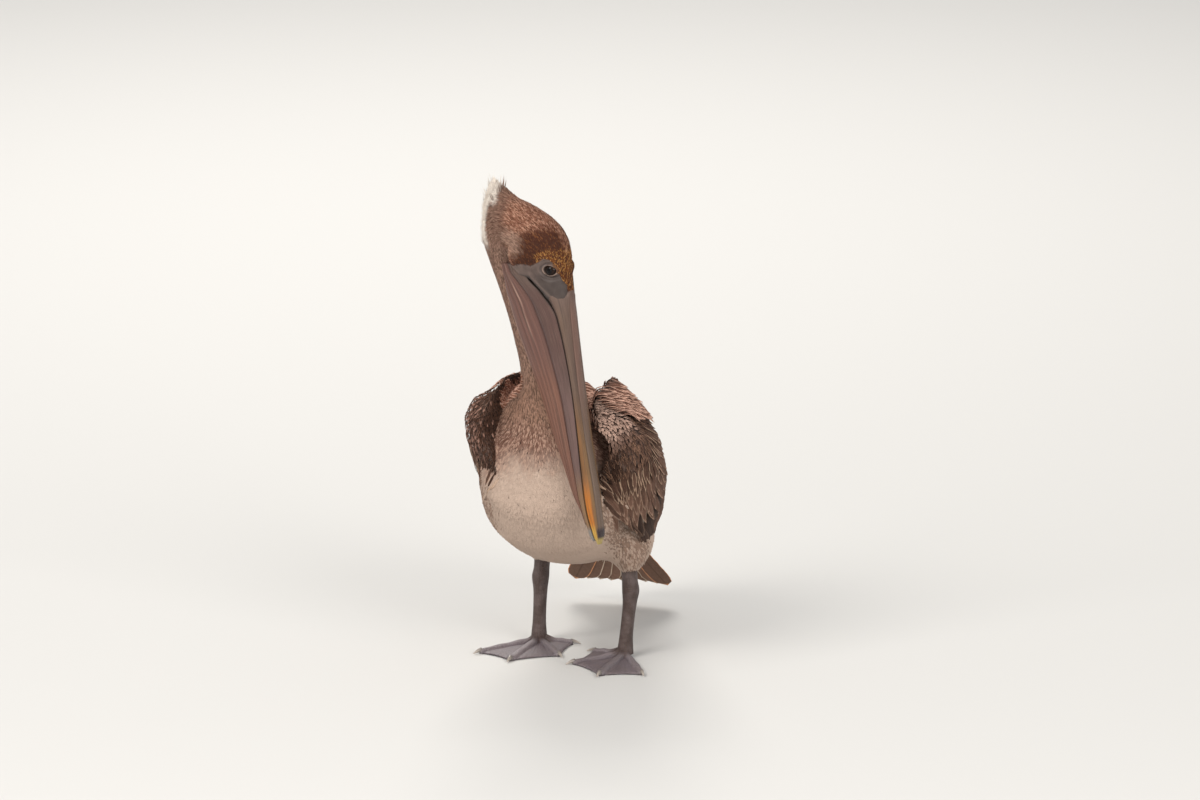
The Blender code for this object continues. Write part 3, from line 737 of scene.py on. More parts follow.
def make_piece(name: str, points: Array, faces: Iterable[Sequence[int]], place: Placement,
               tone: Optional[Array] = None, uv: Optional[tuple[str, Array]] = None) -> bpy.types.Object:
    """Make a mesh object from millimetre points.

    Args:
        name: the piece's name.
        points: its vertices in the bird's frame.
        faces: loops of vertex indices.
        place: where the bird stands.
        tone: one colour for each vertex.
        uv: a map's name and one (u, v) for each vertex.

    Returns:
        The linked object, smooth shaded.
    """
    mesh = bpy.data.meshes.new(name)
    mesh.from_pydata([tuple(p) for p in place.out(points)], [], [tuple(f) for f in faces])
    mesh.update()
    mesh.shade_smooth()
    if tone is not None:
        paint_vertices(mesh, "tone", tone)
    if uv is not None:
        store_uv(mesh, uv[0], np.asarray(uv[1], float)[loop_vertices(mesh)])
    made = bpy.data.objects.new(name, mesh)
    bpy.context.scene.collection.objects.link(made)
    return made


def loop_vertices(mesh: bpy.types.Mesh) -> Array:
    """Return the vertex of every corner of a mesh."""
    index = np.zeros(len(mesh.loops), np.int32)
    mesh.loops.foreach_get("vertex_index", index)
    return index


def store_uv(mesh: bpy.types.Mesh, name: str, rows: Array) -> None:
    """Store a UV map given for each corner."""
    layer = mesh.uv_layers.get(name) or mesh.uv_layers.new(name=name)
    layer.data.foreach_set("uv", np.asarray(rows, np.float32).ravel())


def store_rows(mesh: bpy.types.Mesh, name: str, kind: str, key: str, rows: Array) -> None:
    """Store values of one kind for each vertex."""
    layer = mesh.attributes.get(name) or mesh.attributes.new(name, kind, "POINT")
    layer.data.foreach_set(key, np.asarray(rows, np.float32).ravel())


def paint_vertices(mesh: bpy.types.Mesh, name: str, rows: Array) -> None:
    """Store a colour for each vertex."""
    store_rows(mesh, name, "FLOAT_COLOR", "color", np.concatenate([rows, np.ones((len(rows), 1))], axis=1))


def store_number(mesh: bpy.types.Mesh, name: str, rows: Array) -> None:
    """Store a number for each vertex."""
    store_rows(mesh, name, "FLOAT", "value", rows)


def mesh_points(mesh: bpy.types.Mesh) -> Array:
    """Return a mesh's vertices as stored."""
    rows = np.zeros(len(mesh.vertices) * 3)
    mesh.vertices.foreach_get("co", rows)
    return rows.reshape(-1, 3)


def mesh_normals(mesh: bpy.types.Mesh) -> Array:
    """Return a mesh's vertex normals."""
    rows = np.zeros(len(mesh.vertices) * 3, np.float32)
    mesh.vertex_normals.foreach_get("vector", rows)
    return rows.reshape(-1, 3).astype(float)


def move_points(mesh: bpy.types.Mesh, rows: Array) -> None:
    """Write a mesh's vertices."""
    mesh.vertices.foreach_set("co", np.asarray(rows, float).ravel())
    mesh.update()


def tube_faces(rings: int, sides: int, capped: bool = True) -> list[tuple[int, ...]]:
    """Return the faces of a closed tube of rings, wound outwards for rings that turn left-handed."""
    faces = []
    for i in range(rings - 1):
        for k in range(sides):
            near, after = i * sides + k, i * sides + (k + 1) % sides
            faces.append((near, after, after + sides, near + sides))
    if capped:
        faces.append(tuple(range(sides))[::-1])
        faces.append(tuple((rings - 1) * sides + k for k in range(sides)))
    return faces


def turn_outwards(made: bpy.types.Object) -> None:
    """Recalculate a closed piece's normals so that they point outwards."""
    bm = bmesh.new()
    bm.from_mesh(made.data)
    bmesh.ops.recalc_face_normals(bm, faces=bm.faces)
    bm.to_mesh(made.data)
    bm.free()


def baked(made: bpy.types.Object) -> bpy.types.Object:
    """Apply an object's modifiers to its mesh."""
    bpy.context.view_layer.update()
    graph = bpy.context.evaluated_depsgraph_get()
    mesh = bpy.data.meshes.new_from_object(made.evaluated_get(graph), preserve_all_data_layers=True,
                                           depsgraph=graph)
    made.modifiers.clear()
    made.data = mesh
    return made


def join_pieces(name: str, pieces: Sequence[bpy.types.Object]) -> bpy.types.Object:
    """Join objects into the first and name the result."""
    with bpy.context.temp_override(active_object=pieces[0], object=pieces[0], selected_objects=list(pieces),
                                   selected_editable_objects=list(pieces)):
        bpy.ops.object.join()
    pieces[0].name = name
    pieces[0].data.name = name
    return pieces[0]


def hand_over(piece: bpy.types.Object, nodes: Sequence[str] = ()) -> bpy.types.Object:
    """Ride a finished piece on the body and the nodes it stands for."""
    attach(piece, "root")
    if nodes:
        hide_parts(*nodes)
    stood_for = ", ".join(nodes) or "nothing"
    LOG.info("%s: %d faces, stands for %s", piece.name, len(piece.data.polygons), stood_for)
    return piece


# ------------------------------------------------------------------ skin

@dataclass
class Skin:
    """One skin over head, neck, trunk, wings and eyelids, inside the coat."""

    place: Placement
    line: BodyLine
    markings: Markings
    voxel: float = 2.4
    smoothing: int = 12
    belly_smoothing: int = 140
    wing_sink: float = 2.3
    bare_depth: float = 0.2
    socket_sink: float = 1.9
    shoulder_rise: tuple[float, float] = (5.0, 3.5)
    lid_radius: float = 9.6
    opening: tuple[float, float] = (5.6, 8.2)
    tilt: float = 0.16
    eye_fields: tuple[float, ...] = (32.0, 22.0, 16.0)

    def build(self) -> bpy.types.Object:
        """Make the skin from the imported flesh.

        Returns:
            The skin object, with tone and bare attributes.
        """
        wings = [f"wing_{side.word}_{group}" for side in Side for group in WING_GROUPS]
        merged = self._gather((*FLESH, *wings, "eye_right", "eye_left"))
        bmesh.ops.remove_doubles(merged, verts=merged.verts, dist=1e-6)
        mesh = bpy.data.meshes.new("skin")
        merged.to_mesh(mesh)
        merged.free()
        skin = bpy.data.objects.new("skin", mesh)
        bpy.context.scene.collection.objects.link(skin)
        remesh = skin.modifiers.new("Remesh", "REMESH")
        remesh.mode = "VOXEL"
        remesh.voxel_size = self.voxel * MM
        self._relax(skin, self.smoothing)
        self._round_belly(skin)
        move_points(skin.data, self.place.out(self._cheeks(self.place.back(mesh_points(skin.data)))))
        points = self.place.back(mesh_points(skin.data))
        normals = mesh_normals(skin.data)
        points = self._shoulders(points)
        self.hull = Shell(points, normals, skin.data, self._regions(points))
        depth = self.depth(points) + self.wing_sink * (self.hull.region != 0)
        move_points(skin.data, self.place.out(points - normals * depth[:, None]))
        self._refine_eyes(skin)
        self._shape_lids(skin)
        self._paint(skin)
        skin.data.shade_smooth()
        skin.data.materials.clear()
        skin.data.materials.append(SkinFinish().build())
        return skin

    def _round_belly(self, skin: bpy.types.Object) -> None:
        """Ease breast and belly into one even curve."""
        x, y, z = self.place.back(mesh_points(skin.data)).T
        weight = (smoothstep(64, 46, np.abs(x + 4)) * smoothstep(288, 262, z) * smoothstep(98, 114, z)
                  * smoothstep(10, -22, y))
        group = skin.vertex_groups.new(name="belly")
        for index in np.flatnonzero(weight > 0.02).tolist():
            group.add([index], float(weight[index]), "REPLACE")
        self._relax(skin, self.belly_smoothing, group.name)
        skin.vertex_groups.clear()

    @staticmethod
    def _relax(skin: bpy.types.Object, times: int, group: str = "") -> None:
        """Smooth the skin a number of times, all over or in a vertex group."""
        smooth = skin.modifiers.new("Smooth", "SMOOTH")
        smooth.factor, smooth.iterations, smooth.vertex_group = 0.5, times, group
        baked(skin)

    @staticmethod
    def _gather(names: Iterable[str]) -> bmesh.types.BMesh:
        """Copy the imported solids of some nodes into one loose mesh."""
        nodes = {item.name: item for item in bpy.data.objects if "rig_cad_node" in item}
        merged = bmesh.new()
        for name in names:
            merged.from_mesh(nodes[name].data)
        return merged

    def _regions(self, points: Array) -> Array:
        """Tell body (0) from left wing (1) and right wing (-1) at places."""
        places = [Vector(p) for p in self.place.out(points)]
        gaps = []
        for names in (FLESH, *([f"wing_{side.word}_{group}" for group in WING_GROUPS] for side in Side)):
            merged = self._gather(names)
            tree = BVHTree.FromBMesh(merged)
            gaps.append([tree.find_nearest(place)[3] for place in places])
            merged.free()
        return np.array([0, *(int(side) for side in Side)])[np.argmin(np.array(gaps), axis=0)]

    @staticmethod
    def _lid_slope(radius: Array) -> Array:
        """Return how far the lids have fallen at distances from the eye's middle."""
        return LID_FALL * np.maximum(radius - LID_RIM, 0.0)

    def _cheeks(self, points: Array) -> Array:
        """Seat the eyes and swell the cheeks out to the bill's edges, with a fold above the gape."""
        s, d, r = HEAD.read(points)
        gape, half = bill_at(s, 3), bill_at(s, 1)
        out = np.abs(r)
        radius = np.hypot(s - EYE_S, d - EYE_D)
        out = out - self.socket_sink * smoothstep(15, 6, radius) * (out > 8)
        lid = BALL_R + 4.2 - self._lid_slope(radius)
        out = np.where((out > 6) & (radius > 7.5) & (radius < 15), np.maximum(out, lid), out)
        level = np.interp(s, [-66, -40, -20, 0, 12], [25, 23.6, 21.8, 19.6, 18.8])
        share = smoothstep(EYE_D - 5, gape + 5, d)
        target = level * (1 - share) + (half + 0.5 + 0.7 * smoothstep(-30, -20, s)) * share
        floor = gape + 1.2 - 16 * smoothstep(-27, -37, s)
        weight = smoothstep(floor - 4, floor, d) * smoothstep(-70, -58, s) * smoothstep(9, 3, s)
        weight = weight * smoothstep(EYE_D - 4, EYE_D - 12, d) * (out > 3)
        out = out + np.maximum(target - out, 0) * weight
        return HEAD.place(s, d, np.sign(r) * out)

    def _shoulders(self, points: Array) -> Array:
        """Raise the surface, and with it the skin, where feathers stand thick on the shoulders."""
        x, y, z = points.T
        right = smoothstep(-117, -98, x) * smoothstep(-46, -56, x)
        right = right * smoothstep(-126, -104, y) * smoothstep(20, -30, y)
        left = smoothstep(14, 26, x) * smoothstep(72, 50, x)
        left = left * smoothstep(-96, -82, y) * smoothstep(10, -20, y)
        high, low = self.shoulder_rise
        rise = (high * right * smoothstep(286, 306, z) + low * left * smoothstep(298, 314, z)) * (z < 352)
        return points + np.stack([-0.25 * rise * (right > 0), 0 * rise, rise], axis=1)

    def depth(self, points: Array) -> Array:
        """Return the coat's depth over places of the flesh."""
        _, reach, _ = self.line.near(points)
        depth = 0.9 + 0.5 * smoothstep(60, 180, reach) + 0.5 * smoothstep(330, 280, points[:, 2])
        return np.where(self._bare(points), self.bare_depth, depth)

    def _bare(self, points: Array) -> Array:
        """Tell which places are bare face."""
        s, d, r = HEAD.read(points)
        _, _, away = self.line.near(points)
        return inside(BARE_FACE, s, d) & (np.abs(r) > 6) & (away < 60) & (d > bill_at(s, 4) - 3)

    def _oval(self, s: Array, d: Array) -> Array:
        """Return how far places lie from the eye's middle, 1 on the lids' margin."""
        across, rise = s - EYE_S, d - EYE_D
        turned = across * math.cos(self.tilt) - rise * math.sin(self.tilt)
        level = across * math.sin(self.tilt) + rise * math.cos(self.tilt)
        return np.hypot(turned / self.opening[0], level / self.opening[1])

    def _refine_eyes(self, skin: bpy.types.Object) -> None:
        """Divide the faces round each eye finely enough for lids."""
        bm = bmesh.new()
        bm.from_mesh(skin.data)
        centres = [Vector(self.place.out(HEAD.place(EYE_S, EYE_D, r))) for r in (EYE_R + 8, -EYE_R - 8)]
        for reach in self.eye_fields:
            edges = [edge for edge in bm.edges
                     if min((edge.verts[0].co - centre).length for centre in centres) < reach * MM]
            bmesh.ops.subdivide_edges(bm, edges=edges, cuts=1, use_grid_fill=True)
        bmesh.ops.triangulate(bm, faces=[face for face in bm.faces if len(face.verts) > 4])
        bm.to_mesh(skin.data)
        bm.free()

    def _shape_lids(self, skin: bpy.types.Object) -> None:
        """Raise lids round the eyeballs, open them and fold the skin about them."""
        points = self.place.back(mesh_points(skin.data))
        s, d, r = HEAD.read(points)
        radius = np.hypot(s - EYE_S, d - EYE_D)
        oval = self._oval(s, d)
        for side in (1, -1):
            out = r * side
            near = (radius < 19) & (out > 8)
            lid = BALL_R + np.sqrt(self.lid_radius**2 - np.minimum(radius, LID_RIM) ** 2)
            lid = lid - self._lid_slope(radius)
            margin = 0.6 * np.exp(-((oval - 1.13) / 0.11) ** 2) - 0.45 * np.exp(-((oval - 1.45) / 0.12) ** 2)
            margin += 0.3 * np.exp(-((oval - 1.75) / 0.16) ** 2) - 0.25 * np.exp(-((oval - 2.1) / 0.14) ** 2)
            share = smoothstep(15.5, 8.5, radius)
            height = out * (1 - share) + np.maximum(lid, out - 1.5) * share
            height = height + margin * smoothstep(19, 13, radius)
            height = np.where(oval < 1.0, np.minimum(height, BALL_R + 2.0), height)
            r = np.where(near, height * side, r)
        move_points(skin.data, self.place.out(HEAD.place(s, d, r)))

    def _paint(self, skin: bpy.types.Object) -> None:
        """Store the markings and the bare parts on the skin."""
        points = self.place.back(mesh_points(skin.data))
        s, d, _ = HEAD.read(points)
        bare = self._bare(points).astype(float)
        # Painted shade under the coat: the covered skin's markings are darkened to 0.75, less so low on the
        # belly
        tone = self.markings.tone(points, 1) * (0.75 + 0.22 * smoothstep(285, 235, points[:, 2]))[:, None]
        blotch = ripple(points, 7.0, 5.0)
        face = blend(PALETTE.bare_skin, PALETTE.bare_pale, np.clip(0.25 + 0.6 * blotch, 0, 1))
        face = face * (1 - 0.6 * smoothstep(-44, -22, s) * smoothstep(-42, -30, d))[:, None]
        oval = self._oval(s, d)
        low = smoothstep(-5, 3, (s - EYE_S) - 0.25 * (d - EYE_D))
        face = blend(face, PALETTE.lid, np.exp(-((oval - 1.13) / 0.08) ** 2) * (0.15 + 0.60 * low))
        # Painted shade in the crease that circles the lids
        face = blend(face, PALETTE.crease, np.exp(-((oval - 1.45) / 0.13) ** 2) * 0.6)
        face = blend(face, PALETTE.shadow, smoothstep(1.04, 0.97, oval))
        gape = bill_at(s, 3)
        fold = np.exp(-((d - gape - 5.5) / 1.6) ** 2) * smoothstep(-34, -24, s)
        face = blend(face, PALETTE.bare_pale, fold * 0.6)
        # Painted shadow: the gape's line near black, the shade where the mouth closes
        face = blend(face, PALETTE.gape, smoothstep(3.2, 1.8, d - gape) * smoothstep(-36, -29, s))
        paint_vertices(skin.data, "tone", blend(tone, face, bare))
        store_number(skin.data, "bare", bare)


class Shell:
    """The plumage's outer surface, for finding places and following it."""

    tries: float = 3.2

    def __init__(self, points: Array, normals: Array, mesh: bpy.types.Mesh, region: Array) -> None:
        """Index a mesh given in millimetres, with the region of every vertex."""
        mesh.calc_loop_triangles()
        self.faces = np.zeros(len(mesh.loop_triangles) * 3, np.int32)
        mesh.loop_triangles.foreach_get("vertices", self.faces)
        self.faces = self.faces.reshape(-1, 3)
        self.points, self.normals, self.region = points, normals, region
        self.tree = BVHTree.FromPolygons([tuple(p) for p in points], [tuple(f) for f in self.faces.tolist()])

    def nearest(self, point: Array) -> tuple[Array, Array]:
        """Return the closest place and its smooth normal."""
        found, _, face, _ = self.tree.find_nearest(Vector(point))
        corners = self.faces[face]
        away = np.linalg.norm(self.points[corners] - np.array(found), axis=1) + 1e-6
        return np.array(found), unit((self.normals[corners] / away[:, None]).sum(axis=0))

    def scatter(self, keep: Keep, spacing: Callable[[Array], Array], seed: int) -> tuple[Array, Array]:
        """Spread roots evenly over part of the surface.

        Args:
            keep: tells which (points, normals, regions) may carry a root.
            spacing: the least distance between roots at points.
            seed: seed of the draw.

        Returns:
            The roots and their normals.
        """
        rng = np.random.default_rng(seed)
        a, b, c = (self.points[self.faces[:, k]] for k in range(3))
        middle = (a + b + c) / 3
        area = np.linalg.norm(np.cross(b - a, c - a), axis=1) / 2
        mean_normal = unit(self.normals[self.faces].mean(axis=1))
        area_region = self.region[self.faces[:, 0]]
        wanted = np.where(keep(middle, mean_normal, area_region), area / spacing(middle) ** 2, 0.0)
        count = int(wanted.sum() * self.tries)
        pick = rng.choice(len(area), count, p=wanted / wanted.sum())
        w0, w1 = rng.random(count), rng.random(count)
        flip = w0 + w1 > 1
        w0, w1 = np.where(flip, 1 - w0, w0), np.where(flip, 1 - w1, w1)
        corners = self.faces[pick]
        weights = np.stack([1 - w0 - w1, w0, w1], axis=1)[:, :, None]
        points = (self.points[corners] * weights).sum(axis=1)
        normals = unit((self.normals[corners] * weights).sum(axis=1))
        least = spacing(points)
        chosen = self._thin(points, least)
        chosen = chosen[keep(points[chosen], normals[chosen], area_region[pick[chosen]])]
        return points[chosen], normals[chosen]

    @staticmethod
    def _thin(points: Array, least: Array) -> Array:
        """Keep points, in order, that stand clear of those kept before."""
        cell = float(least.max())
        keys = np.floor(points / cell).astype(int)
        grid: dict[tuple[int, int, int], list[int]] = {}
        near = [(i, j, k) for i in (-1, 0, 1) for j in (-1, 0, 1) for k in (-1, 0, 1)]
        rows, limits, kept = points.tolist(), (least**2).tolist(), []
        for index, (kx, ky, kz) in enumerate(keys.tolist()):
            px, py, pz = rows[index]
            limit, free = limits[index], True
            for i, j, k in near:
                for other in grid.get((kx + i, ky + j, kz + k), ()):
                    qx, qy, qz = rows[other]
                    if (px - qx) ** 2 + (py - qy) ** 2 + (pz - qz) ** 2 < limit:
                        free = False
                        break
                if not free:
                    break
            if free:
                grid.setdefault((kx, ky, kz), []).append(index)
                kept.append(index)
        return np.array(kept, int)


# ------------------------------------------------------------------ small feathers, set by Geometry Nodes

@dataclass(frozen=True)
class VaneShape:
    """A small closed feather one unit long and wide, ridged along its middle."""

    widest: float = 0.38
    half: float = 0.5
    rise: float = 0.10
    ridge: float = 0.10
    droop: float = 0.16
    tip_drop: float = 0.12

    def build(self) -> bpy.types.Object:
        """Make the feather between a point at the root and one at the tip."""
        edge = self.rise - self.droop * self.half
        points = [(0.0, 0.0, 0.0), (-self.half, self.widest, edge),
                  (0.0, self.widest, self.rise + self.ridge), (self.half, self.widest, edge),
                  (0.0, 1.0, self.rise - self.tip_drop)]
        mesh = bpy.data.meshes.new("vane")
        mesh.from_pydata(points, [], [(0, 2, 1), (0, 3, 2), (0, 1, 3), (1, 2, 4), (2, 3, 4), (3, 1, 4)])
        mesh.update()
        mesh.shade_flat()
        places = np.array(points)[loop_vertices(mesh)]
        store_uv(mesh, "Vane", places[:, :2] + np.array([0.5, 0.0]))
        return bpy.data.objects.new(mesh.name, mesh)


@dataclass
class Roots:
    """Where small feathers stand, which way they lie and how they look."""

    points: Array
    up: Array
    lie: Array
    size: Array
    tone: Array
    rim: Array
    unwrap: Array

    def turns(self) -> Array:
        """Return Euler turns that lay +Y along the feather and +Z outwards."""
        along = unit(self.lie)
        side = unit(np.cross(along, self.up))
        top = np.cross(side, along)
        return np.stack([np.arctan2(along[:, 2], top[:, 2]), -np.arcsin(np.clip(side[:, 2], -1, 1)),
                         np.arctan2(side[:, 1], side[:, 0])], axis=1)

    def unwrap3(self) -> Array:
        """Return the unwrap places with a third, zero column."""
        return np.concatenate([self.unwrap, np.zeros((len(self.unwrap), 1))], axis=1)


class CoatTree:
    """Geometry Nodes that set one vane on every root and keep its place on the skin's unwrap."""

    patch: float = 0.003
    inputs: dict[str, str] = {"Roots": "Geometry", "Vane": "Object", "Finish": "Material", "Patch": "Float"}

    def __init__(self) -> None:
        """Make the vane and the tree."""
        self.vane = VaneShape().build()
        self.tree = self._tree()

    def _tree(self) -> bpy.types.NodeTree:
        """Build the node tree."""
        tree = bpy.data.node_groups.new("vane_coat", "GeometryNodeTree")
        for name, kind in self.inputs.items():
            tree.interface.new_socket(name, in_out="INPUT", socket_type=f"NodeSocket{kind}")
        tree.interface.new_socket("Coat", in_out="OUTPUT", socket_type="NodeSocketGeometry")
        nodes, link = tree.nodes, tree.links.new
        start, end = nodes.new("NodeGroupInput"), nodes.new("NodeGroupOutput")
        vane = nodes.new("GeometryNodeObjectInfo")
        link(start.outputs["Vane"], vane.inputs["Object"])
        spread = nodes.new("GeometryNodeInstanceOnPoints")
        link(start.outputs["Roots"], spread.inputs["Points"])
        link(vane.outputs["Geometry"], spread.inputs["Instance"])
        for name, socket in (("turn", "Rotation"), ("size", "Scale")):
            link(self._read(tree, name), spread.inputs[socket])
        solid = nodes.new("GeometryNodeRealizeInstances")
        link(spread.outputs[0], solid.inputs[0])
        local = self._vector(tree, "SUBTRACT", self._read(tree, "Vane"), (0.5, 0.5, 0.0))
        patch = nodes.new("ShaderNodeVectorMath")
        patch.operation = "SCALE"
        link(local, patch.inputs[0])
        link(start.outputs["Patch"], patch.inputs["Scale"])
        spot = self._vector(tree, "ADD", self._read(tree, "root_uv"), patch.outputs[0])
        store = nodes.new("GeometryNodeStoreNamedAttribute")
        store.data_type, store.domain = "FLOAT2", "CORNER"
        store.inputs["Name"].default_value = "OFBake"
        link(solid.outputs[0], store.inputs["Geometry"])
        link(spot, store.inputs["Value"])
        finish = nodes.new("GeometryNodeSetMaterial")
        link(store.outputs[0], finish.inputs["Geometry"])
        link(start.outputs["Finish"], finish.inputs["Material"])
        link(finish.outputs[0], end.inputs["Coat"])
        return tree

    @staticmethod
    def _read(tree: bpy.types.NodeTree, name: str) -> bpy.types.NodeSocket:
        """Read a named vector attribute in the tree."""
        node = tree.nodes.new("GeometryNodeInputNamedAttribute")
        node.data_type = "FLOAT_VECTOR"
        node.inputs["Name"].default_value = name
        return node.outputs["Attribute"]

    @staticmethod
    def _vector(tree: bpy.types.NodeTree, operation: str, first: bpy.types.NodeSocket,
                second: object) -> bpy.types.NodeSocket:
        """Add one Vector Math node to the tree."""
        node = tree.nodes.new("ShaderNodeVectorMath")
        node.operation = operation
        tree.links.new(first, node.inputs[0])
        if isinstance(second, bpy.types.NodeSocket):
            tree.links.new(second, node.inputs[1])
        else:
            node.inputs[1].default_value = second
        return node.outputs[0]

    def grow(self, name: str, roots: Roots, finish: bpy.types.Material,
             place: Placement) -> bpy.types.Object:
        """Set vanes on roots and return them as one plain mesh object."""
        made = make_piece(name, roots.points, [], place)
        mesh = made.data
        guides = {"turn": roots.turns(), "size": roots.size * MM, "root_uv": roots.unwrap3()}
        for key, rows in guides.items():
            store_rows(mesh, key, "FLOAT_VECTOR", "vector", rows)
        paint_vertices(mesh, "tone", roots.tone)
        paint_vertices(mesh, "rim", roots.rim)
        modifier = made.modifiers.new("Coat", "NODES")
        modifier.node_group = self.tree
        sockets = {item.name: item.identifier for item in self.tree.interface.items_tree}
        for key, value in (("Vane", self.vane), ("Finish", finish), ("Patch", self.patch)):
            modifier[sockets[key]] = value
        baked(made)
        for key in guides:
            if key in made.data.attributes:
                made.data.attributes.remove(made.data.attributes[key])
        return made


class Plumage:
    """Shared rules of the small feathers: which way they lie and where they may grow."""

    thigh: float = 34.0

    def __init__(self, place: Placement, line: BodyLine, markings: Markings, shell: Shell,
                 tree: CoatTree) -> None:
        """Keep what every coat needs."""
        self.place, self.line, self.markings, self.shell, self.tree = place, line, markings, shell, tree

    def lie(self, points: Array, normals: Array) -> Array:
        """Return the direction in which feathers lie along the surface."""
        tangent, _, _ = self.line.near(points)
        x, y, z = points.T
        hips = [np.hypot(x - plan.hip[0], y - plan.hip[1]) for plan in FOOT_PLANS.values()]
        leg = np.exp(-((np.minimum(*hips) / self.thigh) ** 2))
        back = blend((0.0, 0.80, -0.60), (0.0, 0.15, -1.0), leg * smoothstep(150, 110, z))
        flow = blend(tangent, back, smoothstep(330, 270, z))
        flow = flow - normals * (flow * normals).sum(axis=1, keepdims=True)
        return unit(flow)

    def unwrap(self, points: Array) -> Array:
        """Give each place on a tube round the body line its own place in a square."""
        tangent, reach, _ = self.line.near(points)
        low = smoothstep(300, 250, points[:, 2])
        index = np.searchsorted(self.line.reach, reach).clip(0, len(self.line.points) - 1)
        away = points - self.line.points[index]
        side = unit(np.cross(tangent, HEAD.cheek))
        round_neck = np.arctan2(away @ HEAD.cheek, (away * side).sum(axis=1))
        round_body = np.arctan2(points[:, 0] + 6.0, points[:, 2] - (205 - 0.35 * points[:, 1]))
        turn = np.where(low > 0.5, round_body, round_neck) / (2 * math.pi) + 0.5
        along = np.where(low > 0.5, 0.55 + 0.42 * (points[:, 1] + 140) / 360.0, 0.03 + 0.5 * reach / 400.0)
        return np.clip(np.stack([turn * 0.98 + 0.01, along], axis=1), 0.003, 0.997)

    def grow(self, name: str, keep: Keep, spacing: Callable[[Array], Array],
             shape: Callable[[Array, Array], tuple[Array, Array, Array]], finish: bpy.types.Material,
             seed: int, rim_lift: float, rise: float = 0.35, sink: float = 0.6,
             flow: Optional[Callable[[Array, Array], Array]] = None) -> bpy.types.Object:
        """Cover part of the shell with small feathers.

        Args:
            name: the piece's name.
            keep: which places carry feathers.
            spacing: distance between roots.
            shape: gives length, width and lift for points and a random draw.
            finish: material of the coat.
            seed: seed of every draw.
            rim_lift: how much paler a feather's edge is than its middle.
            rise: how plump a feather is, as a share of its width.
            sink: how far below the shell roots stand.
            flow: gives the lie, where it isn't the body's own.

        Returns:
            The coat as one object.
        """
        points, normals = self.shell.scatter(keep, spacing, seed)
        rng = np.random.default_rng(seed + 1)
        draw = rng.random(len(points))
        length, width, lift = shape(points, draw)
        way = (flow or self.lie)(points, normals)
        side = np.cross(normals, way)
        way = unit(way + side * rng.normal(0, 0.12, len(points))[:, None] + normals * lift[:, None])
        tone = self.markings.tone(points, seed + 2)
        roots = Roots(points - normals * sink, unit(normals), way,
                      np.stack([width, length, width * rise], axis=1), tone * (0.94 + 0.12 * draw[:, None]),
                      np.clip(tone * rim_lift + 0.02, 0, 0.92), self.unwrap(points))
        return self.tree.grow(name, roots, finish, self.place)


# ------------------------------------------------------------------ long feathers, laid along the surface

@dataclass(frozen=True)
class FeatherCut:
    """Outline and section of a long feather: rounded, or lance shaped past a share of its length."""

    point: float = 0.3
    camber: float = 0.16
    thick: float = 0.5
    ragged: float = 0.06
    sections: int = 9
    lance: bool = False

    def half_width(self, along: Array) -> Array:
        """Return the half width, as a share of the greatest, along the feather."""
        base = np.sqrt(np.clip(along / 0.22, 0.03, 1.0))
        tip = np.clip((1.0 - along) / self.point, 0.0, 1.0)
        return base * (tip**0.8 if self.lance else np.sqrt(np.clip(1.0 - (1.0 - tip) ** 2, 0.0004, 1.0)))


@dataclass
class Feather:
    """One long feather: its path over the body, width, cut and colours."""

    path: Array
    up: Array
    width: float
    tone: Array
    rim: Array
    cut: FeatherCut
    spot: tuple[float, float]


